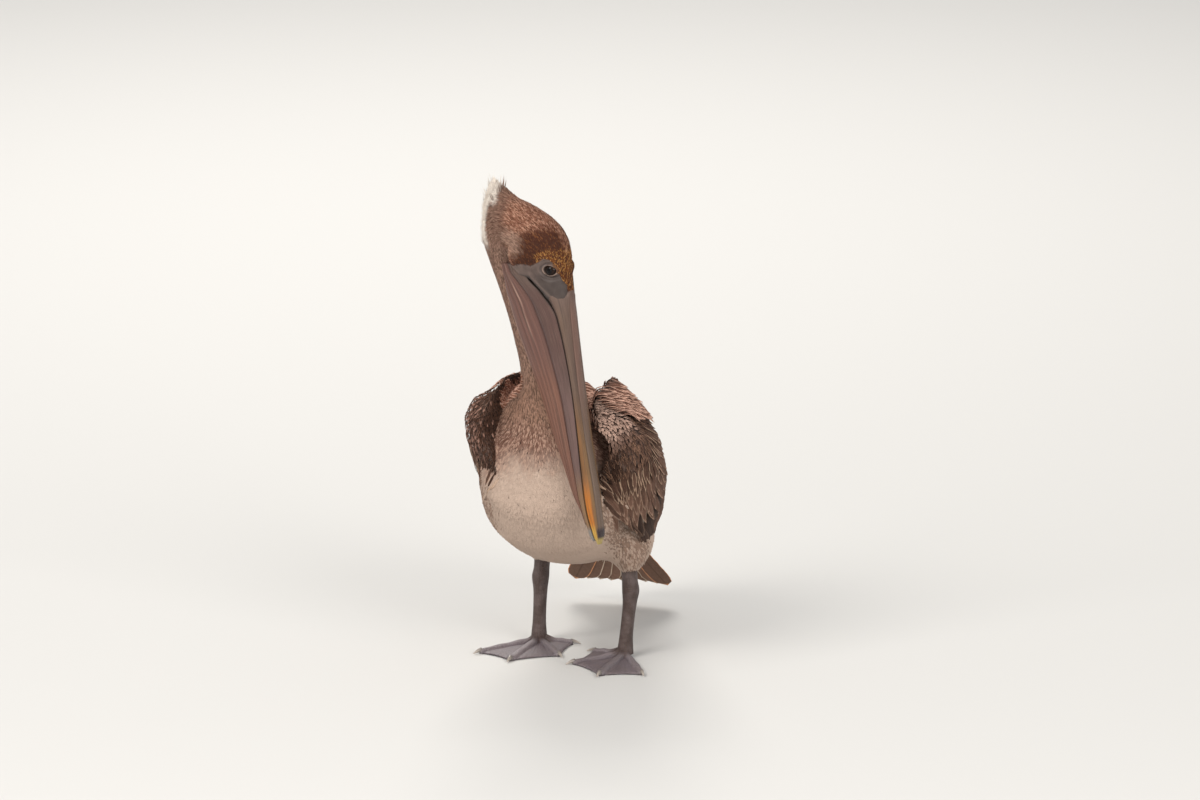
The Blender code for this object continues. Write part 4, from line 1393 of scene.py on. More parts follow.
class FeatherLoft:
    """Gathers long feathers and turns them into one mesh.

    Each lane of a section is (place across, droop, 1 on the underside).
    """

    sides: int = 6
    lanes: tuple[tuple[float, float, int], ...] = (
        (-1.0, 1.0, 0), (-0.5, 0.3, 0), (0.0, 0.0, 0), (0.5, 0.3, 0), (1.0, 1.0, 0), (0.0, 0.25, 1))

    def __init__(self, place: Placement, seed: int) -> None:
        """Start with no feathers."""
        self.place, self.rng = place, np.random.default_rng(seed)
        self.points: list[Array] = []
        self.faces: list[tuple[int, ...]] = []
        self.tone: list[Array] = []
        self.rim: list[Array] = []
        self.vane: list[Array] = []
        self.bake: list[Array] = []

    def add(self, feather: Feather) -> None:
        """Loft one feather and keep its mesh."""
        cut, count = feather.cut, len(feather.path)
        along = np.linspace(0.0, 1.0, count)
        tangent = unit(np.gradient(feather.path, axis=0))
        side = unit(np.cross(tangent, feather.up))
        top = np.cross(side, tangent)
        half = cut.half_width(along) * feather.width / 2 * (1 + cut.ragged * self.rng.normal(0, 1, count))
        camber = cut.camber * feather.width
        rings, vanes = [], []
        share = np.clip(half / (feather.width / 2), 0, 1)
        for lane, drop, under in self.lanes:
            shift = -top * (camber * drop * share + under * cut.thick)[:, None]
            rings.append(feather.path + side * (lane * half)[:, None] + shift)
            vanes.append(np.stack([np.full(count, 0.5 + lane / 2), along], axis=1))
        rows = np.stack(rings, axis=1).reshape(-1, 3)
        first = sum(len(p) for p in self.points)
        self.points.append(rows)
        self.faces += [tuple(first + k for k in face) for face in tube_faces(count, self.sides)]
        vane = np.stack(vanes, axis=1).reshape(-1, 2)
        self.vane.append(vane)
        self.bake.append(np.array(feather.spot) + (vane - 0.5) * CoatTree.patch)
        self.tone.append(np.tile(feather.tone, (len(rows), 1)))
        self.rim.append(np.tile(feather.rim, (len(rows), 1)))

    def build(self, name: str, finish: bpy.types.Material) -> bpy.types.Object:
        """Make the gathered feathers one object."""
        made = make_piece(name, np.concatenate(self.points), self.faces, self.place,
                          np.concatenate(self.tone), ("Vane", np.concatenate(self.vane)))
        paint_vertices(made.data, "rim", np.concatenate(self.rim))
        store_uv(made.data, "OFBake", np.clip(np.concatenate(self.bake), 0, 1)[loop_vertices(made.data)])
        turn_outwards(made)
        ends = np.zeros(len(made.data.edges) * 2, np.int32)
        made.data.edges.foreach_get("vertices", ends)
        lanes = ends.reshape(-1, 2) % self.sides
        rim = (lanes[:, 0] == lanes[:, 1]) & ((lanes[:, 0] == 0) | (lanes[:, 0] == 4))
        sharp = made.data.attributes.new("sharp_edge", "BOOLEAN", "EDGE")
        sharp.data.foreach_set("value", rim)
        made.data.materials.append(finish)
        return made


def surface_path(shell: Shell, start: Array, heading: Callable[[Array, Array], Array], length: float,
                 steps: int, lift: tuple[float, float, float]) -> tuple[Array, Array]:
    """Walk over a surface from a root.

    Args:
        shell: the surface.
        start: the root.
        heading: gives a direction from a place and its normal.
        length: how far to walk.
        steps: how many points to return.
        lift: height above the surface at the root, in the middle and at the tip.

    Returns:
        The path and the outward directions along it.
    """
    spot, normal = shell.nearest(start)
    points, ups = [], []
    for step in range(steps):
        share = step / (steps - 1)
        height = np.interp(share, (0.0, 0.5, 1.0), lift)
        points.append(spot + normal * height)
        ups.append(normal)
        way = heading(spot, normal)
        way = unit(way - normal * (way @ normal))
        moved = spot + way * length / (steps - 1)
        spot, fresh = shell.nearest(moved)
        normal = unit(normal * 0.55 + fresh * 0.45)
    path = np.array(points)
    path[1:-1] = path[1:-1] * 0.5 + (path[:-2] + path[2:]) * 0.25
    return path, unit(np.array(ups))


# ------------------------------------------------------------------ wings

Covert = tuple[float, float, FeatherCut, tuple[float, float, float], Array, Array]


@dataclass(frozen=True)
class Tract:
    """One group of wing feathers: where its rows lie and how its feathers look."""

    rows: tuple[float, ...]
    across: tuple[float, float]
    length: float
    width: float
    spread: float
    slant: float
    tone: Colour
    rim: Colour
    cut: FeatherCut
    lift: tuple[float, float, float] = (-1.0, 1.0, 1.2)


@dataclass
class Wing:
    """A folded wing's feathers, in overlapping rows from the tail end forward."""

    place: Placement
    shell: Shell
    side: Side
    first_seed: int = 40
    stations: tuple[tuple[float, ...], ...] = (
        (-120, 58, 302, 82, 282, 57, 246), (-113, 48, 315, 101, 287, 53, 222),
        (-98, 45, 326, 111, 284, 63, 203), (-75, 43, 330, 112, 266, 76, 181),
        (-43, 41, 335, 110, 256, 85, 157), (0, 38, 333, 104, 246, 84, 132),
        (40, 28, 326, 89, 224, 69, 121), (80, 17, 300, 75, 194, 57, 110), (118, 10, 262, 64, 162, 51, 101),
        (150, 8, 218, 51, 137, 42, 91), (185, 7, 160, 38, 108, 33, 77), (214, 6, 108, 24, 84, 25, 64),
        (233, 7, 80, 15, 73, 18, 62),
    )
    right_change: tuple[tuple[float, ...], ...] = (
        (-120, 0, 10, 24), (-113, 6, 6, 28), (-98, 12, 2, 28), (-75, 20, 4, 30), (-43, 26, 8, 22),
        (0, 20, 12, 8), (40, 12, 14, 4), (80, 4, 12, 2), (150, 0, 0, 0),
    )
    tracts: tuple[Tract, ...] = (
        Tract((232, 262), (0.15, 0.85), 118, 15, 9, -4, PALETTE.flight, PALETTE.flight_rim,
              FeatherCut(0.34, 0.10, 0.7, 0.02, 11), (-2.0, -0.5, 1.0)),
        Tract((170, 196), (0.30, 1.0), 108, 19, 10, 2, PALETTE.flight, PALETTE.flight_rim,
              FeatherCut(0.22, 0.12, 0.7, 0.03, 11), (-2.0, 0.0, 1.5)),
        Tract((84, 110), (0.62, 1.0), 92, 17, 9, 6, PALETTE.flight, PALETTE.flight_rim,
              FeatherCut(0.22, 0.12, 0.7, 0.03, 10), (-2.0, -0.6, 0.6)),
        Tract((146, 186, 218), (0.02, 0.42), 84, 20, 11, 0, PALETTE.greater, PALETTE.greater_rim,
              FeatherCut(0.30, 0.14, 0.6, 0.05), (-1.0, 1.8, 2.2)),
        Tract((104, 122), (0.05, 0.90), 74, 15, 8.5, 8, PALETTE.greater, PALETTE.greater_rim,
              FeatherCut(0.30, 0.15, 0.6, 0.05), (-1.5, 1.6, 2.4)),
    )
    lower_edge: tuple[tuple[float, float, float], ...] = (
        (56, -106, 234), (61, -106, 229), (66, -104, 222), (72, -99, 214), (77, -92, 207), (82, -82, 199),
    )

    def point(self, back: float, across: float) -> Array:
        """Return a place on the wing.

        Args:
            back: distance behind the leading edge, along the bird.
            across: 0 at the top edge to 1 at the lower edge.
        """
        table = np.array(self.stations, float)
        y = np.clip(back - 120.0, table[0, 0], table[-1, 0])
        values = [np.interp(y, table[:, 0], table[:, k]) for k in range(1, 7)]
        top, bulge, low = (np.array(values[k:k + 2]) for k in (0, 2, 4))
        if self.side is Side.RIGHT:
            change = np.array(self.right_change, float)
            rise, out, top_out = (np.interp(y, change[:, 0], change[:, k]) for k in (1, 2, 3))
            top, bulge = top + (top_out, top_out * 0.25), bulge + (out, rise * 0.35)
            low = low + (out, rise)
        t = across
        x, z = (1 - t) * (1 - 2 * t) * top + 4 * t * (1 - t) * bulge + t * (2 * t - 1) * low
        return np.array([self.side * x + sway(y), y, z])

    @staticmethod
    def _fall(points: Array) -> Array:
        """Return how far places lie behind and below the wing's bend, along the feathers."""
        return (300 - points[:, 2]) * 0.75 + (points[:, 1] + 110) * 0.62

    def _heading(self, slant: float = 0.0) -> Callable[[Array, Array], Array]:
        """Return the way feathers lie: down from the bend in front, backwards along the wing behind."""
        def way(spot: Array, normal: Array) -> Array:
            """Turn from down and outwards to backwards."""
            back = float(smoothstep(-92, 10, spot[1]))
            outward = float(smoothstep(86, 58, abs(spot[0]))) * (1 - back)
            rear = np.array([-0.06 * self.side, 1.0, -0.50 - 0.14 * smoothstep(-60, 120, spot[1])
                             - math.tan(math.radians(slant))])
            front = np.array([self.side * (0.06 + 0.8 * outward), 0.30, -1.0])
            return unit(front) * (1 - back) + unit(rear) * back
        return way

    def build(self) -> bpy.types.Object:
        """Lay every tract of the wing and return it as one piece."""
        seed = self.first_seed + int(self.side)
        loft, rng = FeatherLoft(self.place, seed), np.random.default_rng(seed)
        for tract in self.tracts:
            self._rows(loft, rng, tract)
        self._coverts(loft, rng, seed)
        self._edge(loft, rng)
        finish = FeatherFinish(f"wing_feather_{self.side.word}", rim_start=0.52, tip_start=0.76)
        return loft.build(f"wing_{self.side.word}", finish.build())

    def _rows(self, loft: FeatherLoft, rng: np.random.Generator, tract: Tract) -> None:
        """Lay one tract in rows across the wing."""
        heading = self._heading(tract.slant)
        for number, back in enumerate(tract.rows):
            line = np.array([self.point(back, a) for a in np.linspace(*tract.across, 24)])
            reach = np.concatenate([[0.0], np.cumsum(np.linalg.norm(np.diff(line, axis=0), axis=1))])
            count = max(2, int(reach[-1] / tract.spread))
            for k in range(count):
                along = (k + 0.5 * (number % 2) + rng.uniform(-0.15, 0.15)) / count
                across = tract.across[0] + (tract.across[1] - tract.across[0]) * float(np.clip(along, 0, 1))
                root = self.point(back + rng.uniform(-2.0, 2.0), across)
                path, up = surface_path(self.shell, root, heading, tract.length * rng.uniform(0.88, 1.1),
                                        tract.cut.sections, tract.lift)
                loft.add(Feather(path, up, tract.width * rng.uniform(0.9, 1.1),
                                 np.array(tract.tone) * rng.uniform(0.75, 1.25),
                                 np.array(tract.rim) * rng.uniform(0.75, 1.2), tract.cut,
                                 (0.02 + 0.96 * across, 0.30 + 0.68 * back / 360.0)))

    def _coverts(self, loft: FeatherLoft, rng: np.random.Generator, seed: int) -> None:
        """Lay the bend's short feathers, the lesser, median and front greater coverts."""
        outward = np.array([0.75 * self.side, -0.55, 0.25])

        def keep(points: Array, normals: Array, region: Array) -> Array:
            """Keep the wing's outer face down to the primaries' own coverts."""
            fall = self._fall(points)
            inner = -0.12 if self.side is Side.LEFT else -0.8
            return ((region == int(self.side)) & (fall < 112) & (normals @ outward > inner)
                    & (points[:, 1] < 30) & (points[:, 2] < 346))

        def spacing(points: Array) -> Array:
            """Widen the spacing from the bend down."""
            return np.interp(self._fall(points), [-12, 8, 18, 40, 50, 62, 76, 92],
                             [2.6, 2.7, 3.3, 4.0, 5.4, 6.2, 7.4, 10.0])

        points, _ = self.shell.scatter(keep, spacing, seed)
        heading = self._heading()
        for index in np.argsort(-self._fall(points)):
            point = points[index]
            fall = float(self._fall(point[None])[0]) + rng.uniform(-3, 3)
            outer = float(smoothstep(80, 102, abs(point[0]) + 8 * (self.side < 0)))
            fall = min(fall, 76.0) if fall > 64 and point[2] > 196 else fall
            length, width, cut, lift, tone, rim = self._covert(fall, outer, rng)
            lift = (lift[0], lift[1] * 0.5, lift[2] * 0.4) if self.side is Side.RIGHT else lift
            path, up = surface_path(self.shell, point, heading, length * rng.uniform(0.85, 1.12),
                                    cut.sections, lift)
            spot = (0.02 + 0.96 * (point[1] + 125) / 160.0, 0.02 + 0.26 * (330 - point[2]) / 180.0)
            loft.add(Feather(path, up, width * rng.uniform(0.85, 1.15), tone * rng.uniform(0.7, 1.3),
                             rim * rng.uniform(0.7, 1.2), cut, spot))

    def _covert(self, fall: float, outer: float, rng: np.random.Generator) -> Covert:
        """Choose one covert's size and look.

        Args:
            fall: how far it lies from the bend.
            outer: 0 on the wing's front face to 1 on its outer face.
            rng: the wing's own draws.

        Returns:
            Length, width, cut, lift, tone and rim.
        """
        p = PALETTE
        brown = np.array(p.greater) * 0.9
        if fall < 42:
            share = float(smoothstep(1, 15, fall + rng.uniform(-2, 2)))
            long = float(smoothstep(4, 40, fall))
            cut, lift = FeatherCut(0.62, 0.16, 0.4, 0.08, 5, fall > 14), (-0.6, 0.8, 1.1)
            # On the right wing the small coverts are painted shade: dark all over, without the left's pale
            # mauve, their rims darkening towards the front face in the recess against the breast
            if self.side is Side.RIGHT:
                tone, rim = np.array(p.covert) * 1.6, np.array(p.coverlet_rim)
                tone = rim * 0.8 if rng.random() < 0.34 * outer else tone
                rim = rim * (0.25 + 0.75 * outer)
                rim = rim if rng.random() < 0.6 else tone * 1.4
                return 6.0 + 3.0 * long, 2.7 + 0.6 * long, cut, lift, tone, rim
            mauve = blend(p.wing_bend, p.coverlet, smoothstep(-3, 5, fall))
            tone = mauve * 0.75 * (1 - share) + np.array(p.covert) * share
            rim = mauve * 1.2 * (1 - share) + np.array(p.covert_rim) * share
            tone = tone * (1 - outer * share) + brown * outer * share
            if rng.random() < 0.5 * share:
                rim = tone * 1.25
            elif rng.random() < 0.3 * (1 - share):
                tone = tone * 0.4
            return 6.5 + 7.0 * long, 2.8 + 1.0 * long, cut, lift, tone, rim
        if fall < 62:
            tone, rim = np.array(p.median), np.array(p.median_rim)
            tone = tone * (1 - 0.6 * outer) + brown * 0.6 * outer
            if rng.random() < 0.25:
                rim = tone * 1.3
            return 30.0, 6.2, FeatherCut(0.55, 0.16, 0.45, 0.08, 8, True), (-0.8, 1.5, 2.4), tone, rim
        if fall < 78:
            rim = np.array(p.greater_rim) if rng.random() < 0.7 else brown * 1.3
            tone, cut = np.array(p.greater), FeatherCut(0.45, 0.16, 0.5, 0.06, 9, True)
            return 45.0, 8.6, cut, (-1.2, 1.2, 2.0), tone, rim
        tone, rim = np.array(p.flight), np.array(p.flight_rim)
        return 56.0, 12.0, FeatherCut(0.3, 0.14, 0.6, 0.04, 9), (-1.4, 0.2, 0.8), tone, rim

    def _edge(self, loft: FeatherLoft, rng: np.random.Generator) -> None:
        """Lay the pale, narrow feathers along the wing's lower front edge."""
        line = spline([(self.side * x, y, z) for x, y, z in self.lower_edge], 14)[:, :3]
        cut = FeatherCut(0.5, 0.14, 0.45, 0.05, 8)
        for k, point in enumerate(line[:-3:2]):
            ahead = unit(line[2 * k + 2] - line[2 * k]) + np.array([0.0, 0.0, rng.normal(0, 0.04)])
            path, up = surface_path(self.shell, point + rng.normal(0, 0.8, 3), lambda spot, normal: ahead,
                                    rng.uniform(14, 24), cut.sections, (-0.4, 1.0, 1.0))
            share = rng.uniform(0.0, 1.0)
            tone = blend(PALETTE.median_rim, PALETTE.belly, share)
            loft.add(Feather(path, up, rng.uniform(2.4, 3.6), tone, tone * 1.2, cut, (0.3 + k / 80, 0.99)))


# ------------------------------------------------------------------ back and tail

@dataclass
class Mantle:
    """Pointed, pale-edged feathers of shoulders and back, in curved rows."""

    plumage: Plumage
    cut: FeatherCut = FeatherCut(point=0.62, camber=0.18, thick=0.5, ragged=0.08, sections=7)
    seeds: tuple[int, int, int] = (61, 62, 63)

    @staticmethod
    def _keep(points: Array, normals: Array, region: Array) -> Array:
        """Tell which places belong to the back and the shoulders."""
        x, y, z = points.T
        ridge = np.interp(y, [-20, 40, 80, 118, 150, 185], [302, 296, 268, 230, 188, 134])
        back = (y > -20) & (y < 176) & (z > ridge) & (normals[:, 2] > 0.1)
        left = (x > 18) & (x < 78) & (y > -92) & (z > 302)
        right = (x < -36) & (x > -80) & (y > -92) & (z > 308)
        shoulder = (left | right) & (y <= -20) & (normals[:, 2] > -0.1)
        return (back | shoulder) & (z < 352)

    @staticmethod
    def _spacing(points: Array) -> Array:
        """Set the shoulders closer than the back."""
        right_shoulder = (points[:, 0] < -20) * (points[:, 1] < -30)
        return 3.9 + 2.6 * smoothstep(-40, 20, points[:, 1]) - 0.6 * right_shoulder

    def build(self) -> bpy.types.Object:
        """Lay the feathers from the tail end forward and return them as one piece."""
        scatter_seed, draw_seed, loft_seed = self.seeds
        points, _ = self.plumage.shell.scatter(self._keep, self._spacing, scatter_seed)
        rng, loft = np.random.default_rng(draw_seed), FeatherLoft(self.plumage.place, loft_seed)
        cut = self.cut
        unwrap = self.plumage.unwrap(points)
        for index in np.argsort(-points[:, 1]):
            point = points[index]
            side = 1.0 if point[0] > 0 else -1.0
            back = float(smoothstep(-50, 30, point[1]))
            splay = np.array([side, 0.42, -0.12])
            stream = np.array([0.004 * (point[0] + 6), 1.0, -0.45])
            way = splay * (1 - back) + stream * back + rng.normal(0, 0.10, 3)
            ruff = float(side > 0) * (1 - back)
            length = (13 + 9 * ruff + 24 * back) * rng.uniform(0.85, 1.2)
            lift = (-0.8, 1.0 + 5.5 * ruff + back, 1.2 + ruff * rng.uniform(4.0, 9.0) + back)
            path, up = surface_path(self.plumage.shell, point, lambda spot, normal: way, length,
                                    cut.sections, lift)
            pale = (1 - back) * (0.2 if side > 0 else 0.6)
            tone = np.array(PALETTE.mantle) * rng.uniform(0.7, 1.3) * (1 + pale)
            rim = np.array(PALETTE.mantle_rim) * rng.uniform(0.7, 1.2) * (1 + 0.4 * pale + 0.3 * ruff)
            width = (4.2 + 1.0 * ruff + 6.6 * back) * rng.uniform(0.85, 1.1)
            loft.add(Feather(path, up, width, tone, rim, cut, tuple(unwrap[index])))
        finish = FeatherFinish("mantle_feather", rim_start=0.42, tip_start=0.60)
        return loft.build("mantle", finish.build())


@dataclass
class Tail:
    """The short fanned tail: stiff feathers with pale rims, and coverts over their roots."""

    place: Placement
    root: tuple[float, float] = (168.0, 96.0)
    tip: tuple[float, float] = (240.0, 24.0)
    half_root: float = 20.0
    half_tip: float = 58.0
    feathers: int = 9
    seeds: tuple[int, int] = (71, 72)
    long_cut: FeatherCut = FeatherCut(0.20, 0.05, 0.7, 0.02, 14)
    over_cut: FeatherCut = FeatherCut(0.5, 0.2, 0.5, 0.06, 7)
    under_cut: FeatherCut = FeatherCut(0.5, -0.2, 0.5, 0.06, 7)
    covert_rows: tuple[tuple[float, int], ...] = ((0.52, 15), (0.38, 13), (0.26, 11))

    def build(self) -> bpy.types.Object:
        """Return the tail as one piece."""
        loft_seed, draw_seed = self.seeds
        loft, rng = FeatherLoft(self.place, loft_seed), np.random.default_rng(draw_seed)
        order = sorted(range(self.feathers), key=lambda k: -abs(2 * k / (self.feathers - 1) - 1))
        for layer, k in enumerate(order):
            u = 2 * k / (self.feathers - 1) - 1
            rim = PALETTE.tail_side if abs(u) > 0.95 else PALETTE.tail_rim
            self._feather(loft, rng, self.long_cut, u, layer * 0.3, 27.0, 1.0, (PALETTE.tail, rim))
        for row, (share, count) in enumerate(self.covert_rows):
            for k in range(count):
                u = 2 * (k + 0.5 * (row % 2)) / count - 1
                self._feather(loft, rng, self.over_cut, u, 3.4 + row, 13.0, share,
                              (PALETTE.mantle, PALETTE.mantle_rim))
                self._feather(loft, rng, self.under_cut, u, -2.6 - row, 12.0, share,
                              (PALETTE.belly_shade, PALETTE.belly))
        finish = FeatherFinish("tail_feather", rim_start=0.90, tip_start=0.95, shaft=0.3)
        return loft.build("tail_feathers", finish.build())

    def _feather(self, loft: FeatherLoft, rng: np.random.Generator, cut: FeatherCut, u: float, height: float,
                 width: float, reach: float, colours: tuple[Colour, Colour]) -> None:
        """Lay one feather of the fan, u from -1 to 1 across it."""
        steps = np.linspace(-0.1, 1.0, cut.sections)[:, None] * reach
        start = np.array([sway(self.root[0]) + u * self.half_root, self.root[0], self.root[1] - 5 * u * u])
        round_tip = math.sqrt(max(0.0, 1 - 0.16 * u * u))
        end_y = self.root[0] + (self.tip[0] - self.root[0]) * round_tip
        end_z = self.root[1] + (self.tip[1] - self.root[1]) * round_tip - 3 * u * u
        end = np.array([sway(self.tip[0]) + u * self.half_tip, end_y, end_z])
        end += rng.uniform(-1.2, 1.2, 3)
        normal = unit(np.array([0.0, self.root[1] - self.tip[1], self.tip[0] - self.root[0]]))
        path = start + (end - start) * steps + normal * (height - 3.0 * (steps / reach) ** 2 * reach)
        spot = (0.05 + 0.9 * (u + 1.2) / 2.4, 0.06 + 0.8 * reach * 0.5 + 0.02 * height)
        tone = np.array(colours[0]) * rng.uniform(0.8, 1.2)
        rim = np.array(colours[1]) * rng.uniform(0.85, 1.1)
        loft.add(Feather(path, np.tile(normal, (cut.sections, 1)), width, tone, rim, cut, spot))


# ------------------------------------------------------------------ bill and pouch

@dataclass(frozen=True)
class BillPalette:
    """Colours of bill and pouch, linear."""

    culmen: Colour = (0.180, 0.102, 0.080)
    culmen_low: Colour = (0.152, 0.106, 0.080)
    plate: Colour = (0.128, 0.082, 0.063)
    plate_low: Colour = (0.200, 0.112, 0.050)
    edge: Colour = (0.128, 0.082, 0.060)
    edge_middle: Colour = (0.190, 0.090, 0.032)
    orange: Colour = (0.470, 0.155, 0.018)
    amber: Colour = (0.560, 0.330, 0.060)
    # Painted shade: the groove beside the culmen is darkened
    groove: Colour = (0.028, 0.018, 0.015)
    # Painted shade: the upper mandible's edge over the slit between the mandibles
    cutting_edge: Colour = (0.020, 0.012, 0.010)
    nail: Colour = (0.030, 0.022, 0.028)
    nail_tip: Colour = (0.430, 0.330, 0.110)
    ramus: Colour = (0.104, 0.058, 0.050)
    ramus_low: Colour = (0.140, 0.086, 0.078)
    ramus_seam: Colour = (0.060, 0.036, 0.040)
    # Painted shadow: near black for the shade inside the mouth, between the mandibles
    mouth: Colour = (0.010, 0.007, 0.006)
    ramus_warm: Colour = (0.330, 0.190, 0.070)
    ramus_tip: Colour = (0.230, 0.220, 0.215)
    pouch: Colour = (0.150, 0.074, 0.060)
    pouch_low: Colour = (0.195, 0.092, 0.064)
    # fold_lit and fold_dark are painted light and shade: the pouch's fold ridges lit, its fold hollows shaded
    fold_lit: Colour = (0.270, 0.140, 0.108)
    fold_dark: Colour = (0.075, 0.038, 0.036)
    pouch_seam: Colour = (0.060, 0.034, 0.036)
    streak: Colour = (0.500, 0.330, 0.260)
    pouch_edge: Colour = (0.340, 0.180, 0.130)


HORN = BillPalette()


@dataclass
class Bill:
    """Upper and lower mandible, the hooked nail and the pouch, lofted along one table."""

    place: Placement
    groove: float = 1.44
    upper_sides: int = 48
    lower_sides: int = 28
    pouch_sides: int = 44

    def _stations(self, start: float, end: float, count: int) -> tuple[Array, ...]:
        """Read the bill's table between two places along it."""
        rows = spline([(s, 0, 0, *rest) for s, *rest in BILL], 300)
        places = np.linspace(start, end, count)
        return (places, *[np.interp(places, rows[:, 0], rows[:, k]) for k in range(3, 8)])

    @staticmethod
    def _root_width(s: float) -> float:
        """Return how far jaw and pouch narrow at their roots, 1 past them."""
        return 1 - 0.34 * smoothstep(-34, -46, s)

    @staticmethod
    def _both_cheeks(s: float, d: Array, r: Array) -> Array:
        """Close half a section, given from its top to its underside, over the other cheek."""
        ring = np.stack([np.full(len(d), s), d, r], axis=1)
        return np.concatenate([ring, ring[1:-1][::-1] * np.array([1, 1, -1])])

    def _loft(self, name: str, rings: list[Array], tones: list[Array], places: Array) -> bpy.types.Object:
        """Close rings of head measures, painted on one cheek as on the other, into a piece."""
        sides = len(rings[0])
        points = np.concatenate([HEAD.place(ring[:, 0], ring[:, 1], ring[:, 2]) for ring in rings])
        u = np.tile(np.linspace(0, 1, sides), len(rings))
        v = np.repeat(places / 290.0, sides)
        tone = np.concatenate([np.concatenate([half, half[1:-1][::-1]]) for half in tones])
        made = make_piece(name, points, tube_faces(len(rings), sides), self.place, tone,
                          ("Bill", np.stack([u, v], axis=1)))
        turn_outwards(made)
        return made

    def upper(self) -> bpy.types.Object:
        """Make the upper mandible: flat culmen, a groove each side, sloping plates and sharp edges."""
        places, half, top, gape, _, _ = self._stations(-22, 290.5, 210)
        lane, stops = np.linspace(0, 1, self.upper_sides // 2 + 1), (0, 0.28, 0.34, 0.40, 0.72, 0.9, 1.0)
        rings, tones = [], []
        for s, w, t, g in zip(places, half, top, gape):
            hook = float(smoothstep(272, 290, s))
            base = float(smoothstep(24, -10, s))
            sunk = float(smoothstep(-2, -20, s))
            shoulder = min(5.6, w * 0.58)
            edge = g + (t - g) * 0.30
            r = np.interp(lane, stops, [0, shoulder - 0.6, shoulder + 0.3, shoulder + 1.4,
                                        (shoulder + w) / 2 + 1, w, w - 1.6])
            d = np.interp(lane, stops, [t + 0.3, t - 0.3, t - 0.4 - self.groove * (1 - base), t - 1.3,
                                        t - (t - edge) * 0.45, edge, g + 0.2])
            d = np.minimum(d - hook * 1.2 * (1 - lane), t + 0.3)
            d, r = d + ((t + g) / 2 - d) * 0.42 * sunk, r * (1 - 0.26 * sunk)
            rings.append(self._both_cheeks(s, d, r))
            tone = self._upper_tone(s, lane, base)
            tones.append(tone)
        return self._loft("upper_mandible", rings, tones, places)

    @staticmethod
    def _upper_tone(s: float, lane: Array, base: float) -> Array:
        """Colour a ring of the upper mandible from the culmen (0) to its edge (1)."""
        culmen = blend(HORN.culmen, HORN.culmen_low, smoothstep(60, 190, s))
        plate = blend(HORN.plate, HORN.plate_low, smoothstep(90, 200, s))
        edge = blend(HORN.edge, HORN.edge_middle, smoothstep(100, 170, s))
        edge = blend(edge, HORN.orange, smoothstep(200, 246, s))
        edge = blend(edge, HORN.amber, smoothstep(262, 276, s))
        rows = blend(culmen, plate, smoothstep(0.34, 0.42, lane))
        rows = blend(rows, edge, smoothstep(0.64 - 0.10 * smoothstep(150, 230, s), 0.84, lane))
        # Painted shade in the groove beside the culmen, over its modelled dip
        groove = np.exp(-((lane - 0.35) / 0.022) ** 2)
        rows = blend(rows, HORN.groove, groove * 0.75 * smoothstep(-6, 18, s))
        # Painted shade: the cutting edge darkened near black where it meets the lower mandible
        rows = blend(rows, HORN.cutting_edge, smoothstep(0.93, 0.985, lane))
        rows = blend(rows, np.array(PALETTE.bare_skin) * 1.15, base * 0.85)
        nail = smoothstep(268, 275, s) * smoothstep(0.80, 0.55, lane) * smoothstep(287, 281, s)
        rows = blend(rows, HORN.nail, nail * 0.95)
        return blend(rows, HORN.nail_tip, smoothstep(281, 286, s) * 0.9)

    def lower(self) -> bpy.types.Object:
        """Make the lower mandible's two rami as one slim, round-edged piece."""
        places, half, _, gape, jaw, _ = self._stations(-46, 286, 180)
        lane, stops = np.linspace(0, 1, self.lower_sides // 2 + 1), (0, 0.2, 0.35, 0.6, 0.85, 1.0)
        rings, tones = [], []
        for s, w, g, j in zip(places, half, gape, jaw):
            r = np.interp(lane, stops, [0, w - 2.0, w - 0.7, w - 0.2, w - 1.6, w - 5.0]) * self._root_width(s)
            d = np.interp(lane, stops, [g - 0.25, g - 0.25, g - 1.2, (g + j) / 2, j + 0.4, j])
            parted = float(smoothstep(-40, -24, s) * smoothstep(16, -6, s))
            d = d - 2.6 * parted * smoothstep(0.6, 0.3, lane)
            rings.append(self._both_cheeks(s, d, r))
            tone = blend(HORN.ramus, HORN.ramus_low, smoothstep(40, 130, s))
            tone = blend(tone, PALETTE.bare_skin, smoothstep(-8, -30, s))
            tone = blend(tone, HORN.ramus_seam, np.exp(-((lane - 0.93) / 0.07) ** 2) * 0.75)
            # Painted shadow: the ramus's inner lanes, facing into the mouth, go near black, wider where the
            # jaws part
            tone = blend(tone, HORN.mouth, smoothstep(0.32 + 0.1 * parted, 0.22 + 0.08 * parted, lane))
            tone = blend(tone, HORN.ramus_warm, smoothstep(190, 250, s) * 0.55)
            tone = blend(tone, HORN.ramus_tip, smoothstep(266, 276, s))
            tones.append(tone)
        return self._loft("lower_mandible", rings, tones, places)

    def pouch(self) -> bpy.types.Object:
        """Make the hanging pouch with lengthwise folds."""
        places, half, _, _, jaw, edge = self._stations(-46, 266, 170)
        fall = np.linspace(0, 1, self.pouch_sides // 2 + 1)
        share = np.interp(fall, [0, 0.08, 0.3, 0.62, 0.88, 1.0], [0.62, 0.82, 0.76, 0.52, 0.26, 0.0])
        rings, tones = [], []
        for s, w, j, e in zip(places, half, jaw, edge):
            e = min(e, j - 2.2)
            fade = np.sin(np.pi * fall) * smoothstep(266, 200, s)
            folds = 0.55 * np.sin(fall * 34 + 0.9 * math.sin(s / 37)) + 0.35 * np.sin(fall * 61 + s / 23)
            folds = folds * fade
            r = np.maximum(w * share * self._root_width(s) + folds, 0.0)
            d = j - 0.2 + (e - j + 0.2) * fall
            rings.append(self._both_cheeks(s, d, r))
            tone = blend(HORN.pouch, HORN.pouch_low, smoothstep(50, 110, s))
